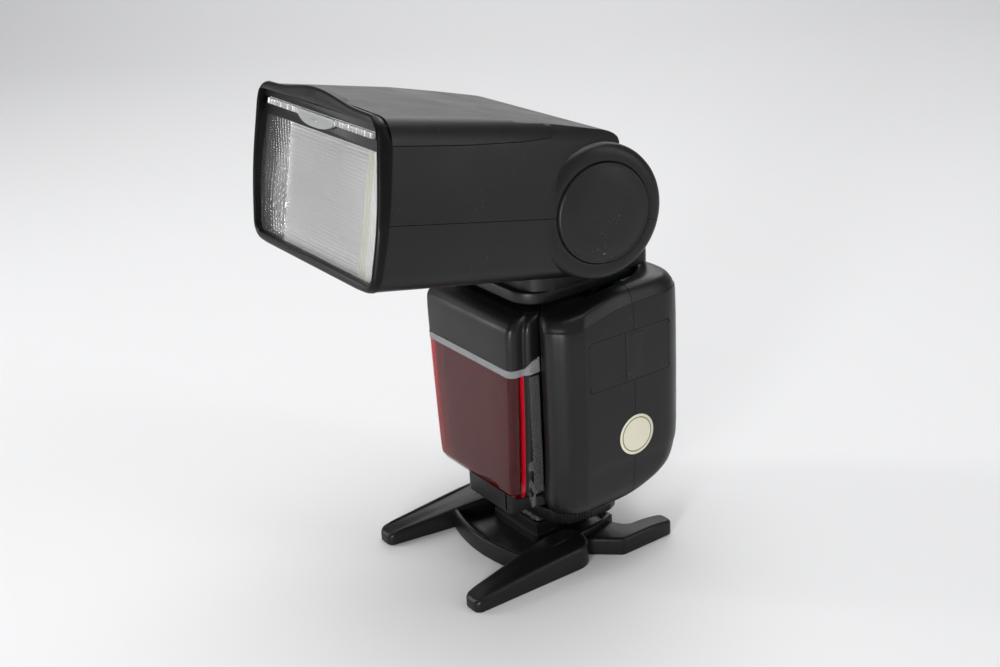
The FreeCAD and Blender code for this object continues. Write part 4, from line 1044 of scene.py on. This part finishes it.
def turret_side():
    """Side view of the neck: upright front, back that leans out towards the seat."""
    points = [(TURRET_FRONT, 90.0), (TURRET_FRONT, TILT_AT.z - 3), (0.0, TILT_AT.z + 2), (14.0, TILT_AT.z),
              (18.0, 112.0), (22.5, 106.5), (26.0, 103.5), (TURRET_REAR - 1.3, 101.6), (TURRET_REAR, 95.0),
              (TURRET_REAR, 90.0)]
    return rounded_outline([(y, z, 2.5) for y, z in points], arc=5, straight=2)


def make_turret():
    """Plinth on the body's seat, neck with a flared back, and the barrel round the tilt axis."""
    plan = turret_plan(TURRET_FRONT, TURRET_REAR, 8.0, 3.0)
    neck = prism(plan, TURRET_FOOT, 140.0, name="turret")
    keep(neck, prism(turret_side(), -40, 40, axis="x"))
    barrel = [(BARREL_R - 0.8, -TURRET_HALF), (BARREL_R, -TURRET_HALF + 0.8), (BARREL_R, TURRET_HALF - 0.8),
              (BARREL_R - 0.8, TURRET_HALF)]
    join(neck, lathe(barrel, TILT_AT))
    seat = turret_plan(-20.0, 27.0, 9.0, 9.0)
    join(neck, prism(seat, 92.6, 96.5, edge=0.6))
    for rear, low, high in ((25.0, 94.6, 100.5), (15.0, 100.0, 112.0)):
        cut(neck, prism(inset_outline(turret_plan(TURRET_FRONT + 2, rear, 6.0, 3.0), 2.0), low, high))
    cut(neck, lathe([(BARREL_R - 2.5, -TURRET_HALF + 2.2), (BARREL_R - 2.5, TURRET_HALF - 2.2)], TILT_AT))
    cut(neck, lathe(TILT_SHAFT_ROOM, TILT_AT))
    cut(neck, lathe(SWIVEL_SHAFT_ROOM, SWIVEL_AT, axis="z"))
    piece(neck, "head", "turret", "turret_housing", slot="head_plastic")


make_turret()

# ---- mini stand -----------------------------------------------------------------------
RIM_Z = 8.0
DISH_FLOOR = 3.2
SHOE_FLOOR = 6.0
PAD = ((-12.4, 12.4), (-12.2, 12.9))
# Section of the deck from its foot over the rim to its floor: inset, height, and how far down from the rim
# to the floor; without a third number the height counts from the ground, otherwise from there.
DECK_SECTION = [(0.35, 0.06, None), (0.0, 0.4, None), (0.0, -0.5, 0), (0.08, -0.28, 0), (0.25, -0.1, 0),
                (0.5, 0.0, 0), (1.2, 0.0, 0), (1.45, -0.08, 0.02), (1.6, -0.2, 0.06), (1.9, 0.0, 0.26),
                (2.4, 0.0, 0.48), (3.2, 0.0, 0.74), (4.4, 0.0, 0.94), (5.8, 0.0, 1.0)]
RAIL_SECTION = [(9.38, 5.5), (12.0, 5.5), (12.0, 9.2), (11.4, 9.8), (6.7, 9.8), (6.3, 9.45), (6.3, 8.65),
                (6.65, 8.3), (9.38, 8.3)]


def raised(outline, height, edge, base):
    """Solid on the ground whose top follows height(x, y), with a rounded upper edge."""
    rings = [[(p.x, p.y, base) for p in inset_outline(outline, 0.35)], [(p.x, p.y, base + 0.35) for p in outline]]
    for degrees in (0, 18, 36, 54, 72, 90):
        turn = math.radians(degrees)
        ring = inset_outline(outline, edge * (1 - math.cos(turn))) if degrees else outline
        rings.append([(p.x, p.y, height(p.x, p.y) - edge * (1 - math.sin(turn))) for p in ring])
    return loft("raised", rings)


def leg_height(x, y):
    """Front legs rise evenly from the toe, which is rounded over."""
    return 4.5 + 3.5 * ease(y, -60.0, -4.0) - 2.2 * quarter((-y - 42.5) / 6.6, 2.0)


def make_leg(side):
    """Long front leg with a broad round rear end."""
    plan = [(30.6, -1.2, 7.0), (16.6, -1.2, 5.0), (16.4, -12.0, 6.0), (20.4, -36.0, 20.0), (22.4, -48.5, 2.6),
            (30.0, -48.5, 2.6), (30.2, -30.0, 30.0)]
    outline = rounded_outline([(side * x, y, r) for x, y, r in plan], arc=9, straight=6)
    return raised(outline, leg_height, 1.3, 0.0)


def make_rear_leg(side):
    """Short rear leg: out from the deck, then straight back."""
    plan = [(12.0, -4.0, 1.0), (12.0, 12.4, 1.0), (20.6, 12.4, 2.0), (26.0, 15.6, 4.0), (26.6, 30.0, 2.4),
            (33.0, 30.0, 2.4), (33.0, 8.4, 2.6), (22.0, -4.0, 2.0)]
    outline = rounded_outline([(side * x, y, r) for x, y, r in plan], arc=7, straight=5)
    return raised(outline, lambda x, y: 6.3 - 1.5 * ease(y, 20.0, 34.0), 1.1, 0.03)


def make_deck():
    """Dished middle of the stand: arched rim at the front, hollow behind it."""
    side = [Vector(p) for p in ((22.0, -23.4), (22.7, -20.0), (23.0, -16.0), (23.1, -12.0), (23.1, -6.0),
                                (22.9, 0.0), (22.4, 6.0), (21.4, 11.0), (20.0, 14.0))]
    arch = [Vector((-22.0 + 44.0 * k / 24, -23.4 - 4.2 * (1 - (k / 12 - 1) ** 2))) for k in range(1, 24)]
    back = [Vector((20.0 - 40.0 * k / 8, 14.0)) for k in range(1, 8)]
    outline = side + back + [Vector((-p.x, p.y)) for p in reversed(side)] + arch
    rings = []
    for inset, base, share in DECK_SECTION:
        ring = []
        for p in outline:
            x, y = p.x * (1 - inset / 23.0), -6.0 + (p.y + 6.0) * (1 - inset / 20.0)
            rim = RIM_Z - 1.2 * ease(-y, 8.0, 24.0)
            z = base if share is None else rim + base - (rim - DISH_FLOOR) * share
            ring.append((x, y, z))
        rings.append(ring)
    return loft("camera_stand", rings)


def make_rail(side):
    """Lipped rail that holds one edge of the foot."""
    rings = []
    for y, grow in ((-11.6, 0.0), (9.6, 0.0), (10.6, 0.5), (11.0, 0.9)):
        rings.append([(side * (x + (grow if x < 9.0 else 0.0)), y, z) for x, z in RAIL_SECTION])
    return loft("rail", rings)


def make_stand():
    deck = make_deck()
    join(deck, make_leg(1), make_leg(-1), make_rear_leg(1), make_rear_leg(-1))
    pad = rounded_outline(rounded_rect(*PAD, 1.2))
    join(deck, raised(pad, lambda x, y: SHOE_FLOOR, 0.2, 0.09))
    cut(deck, block(PAD[0], (PAD[1][1], 20.0), (DISH_FLOOR, 20.0)))
    join(deck, make_rail(1), make_rail(-1))
    join(deck, block((-10.5, 10.5), (-11.6, -9.35), (5.5, 9.75)))
    cut(deck, lathe([(5.02, -1.0), (5.02, 5.0)], (0, 0, 0), axis="z"))
    cut(deck, lathe([(1.7, 3.6), (1.7, 7.0)], (0, 6.4, 0), axis="z"))
    piece(deck, "stand", "stand", "mini_stand", slot="stand_plastic")


make_stand()

# ---- camera, light, floor -------------------------------------------------------------
CAMERA_AT = Vector((0.33179, -0.23966, 0.24322))
CAMERA_YAW = math.radians(55.755)
CAMERA_DOWN = math.radians(22.654)
CAMERA_ROLL = math.radians(-3.275)
CAMERA_LENS = 49.09
# name, place, target, size of the panel, power
LIGHTS = [("top_panel", (-0.1, 0.1, 0.95), (0, 0, 0.1), (0.8, 0.8), 5.4),
          ("back_panel", (-0.95, 0.80, 0.85), (0, 0, 0.1), (1.1, 0.7), 4.6),
          ("left_strip", (-0.55, -0.55, 0.35), (0, 0, 0.08), (0.10, 0.7), 2.0),
          ("front_strip", (0.42, -0.66, 0.15), (0, 0, 0.07), (0.14, 0.26), 4.0),
          ("right_strip", (0.75, 0.45, 0.45), (0, 0, 0.1), (0.16, 0.8), 1.6)]
WORLD_STRENGTH = 0.31
SWEEP_SIDE, SWEEP_START, SWEEP_RADIUS = 2500.0, 900.0, 600.0     # floor paper: half size, where it turns up


def add_camera():
    forward = Vector((-math.sin(CAMERA_YAW) * math.cos(CAMERA_DOWN),
                      math.cos(CAMERA_YAW) * math.cos(CAMERA_DOWN), -math.sin(CAMERA_DOWN)))
    right = forward.cross(Vector((0, 0, 1))).normalized()
    up = right.cross(forward)
    turned_right = right * math.cos(CAMERA_ROLL) + up * math.sin(CAMERA_ROLL)
    turned_up = up * math.cos(CAMERA_ROLL) - right * math.sin(CAMERA_ROLL)
    data = bpy.data.cameras.new("camera")
    data.lens = CAMERA_LENS
    data.sensor_width = 36.0
    data.clip_start = 0.01
    camera = bpy.data.objects.new("camera", data)
    rotation = Matrix((turned_right, turned_up, -forward)).transposed()
    camera.matrix_world = Matrix.Translation(CAMERA_AT) @ rotation.to_4x4()
    bpy.context.scene.collection.objects.link(camera)
    bpy.context.scene.camera = camera


def add_light(name, place, target, size, power):
    data = bpy.data.lights.new(name, "AREA")
    data.shape = "RECTANGLE"
    data.size, data.size_y = size
    data.energy = power
    light = bpy.data.objects.new(name, data)
    aim = (Vector(target) - Vector(place)).to_track_quat("-Z", "Y")
    light.matrix_world = Matrix.Translation(place) @ aim.to_matrix().to_4x4()
    bpy.context.scene.collection.objects.link(light)


def add_stage():
    paint = Paint("floor_paper")
    paint.color(paint.mix(paint.noise(3, 3), (0.76, 0.76, 0.765), (0.79, 0.79, 0.795)))
    paint.set(Roughness=0.8)
    curve = []
    for k in range(9):
        turn = math.radians(90 * k / 8)
        curve.append((SWEEP_START + SWEEP_RADIUS * math.sin(turn), SWEEP_RADIUS * (1 - math.cos(turn))))
    profile = [(-SWEEP_SIDE, 0.0)] + curve + [(SWEEP_START + SWEEP_RADIUS, SWEEP_SIDE)]
    points = [(x, y, z) for x in (-SWEEP_SIDE, SWEEP_SIDE) for y, z in profile]
    count = len(profile)
    faces = [(k, k + 1, count + k + 1, count + k) for k in range(count - 1)]
    turn = Matrix.Rotation(CAMERA_YAW, 4, "Z")
    floor = new_object("floor", points, faces, turn)
    floor.data.materials.append(paint.material)
    for polygon in floor.data.polygons:
        polygon.use_smooth = True


def add_world():
    world = bpy.data.worlds.new("tent")
    world.use_nodes = True
    world.node_tree.nodes["Background"].inputs["Color"].default_value = (0.93, 0.94, 0.96, 1)
    world.node_tree.nodes["Background"].inputs["Strength"].default_value = WORLD_STRENGTH
    bpy.context.scene.world = world


add_camera()
add_world()
add_stage()
bpy.context.scene.view_settings.view_transform = "Standard"
for light in LIGHTS:
    add_light(*light)
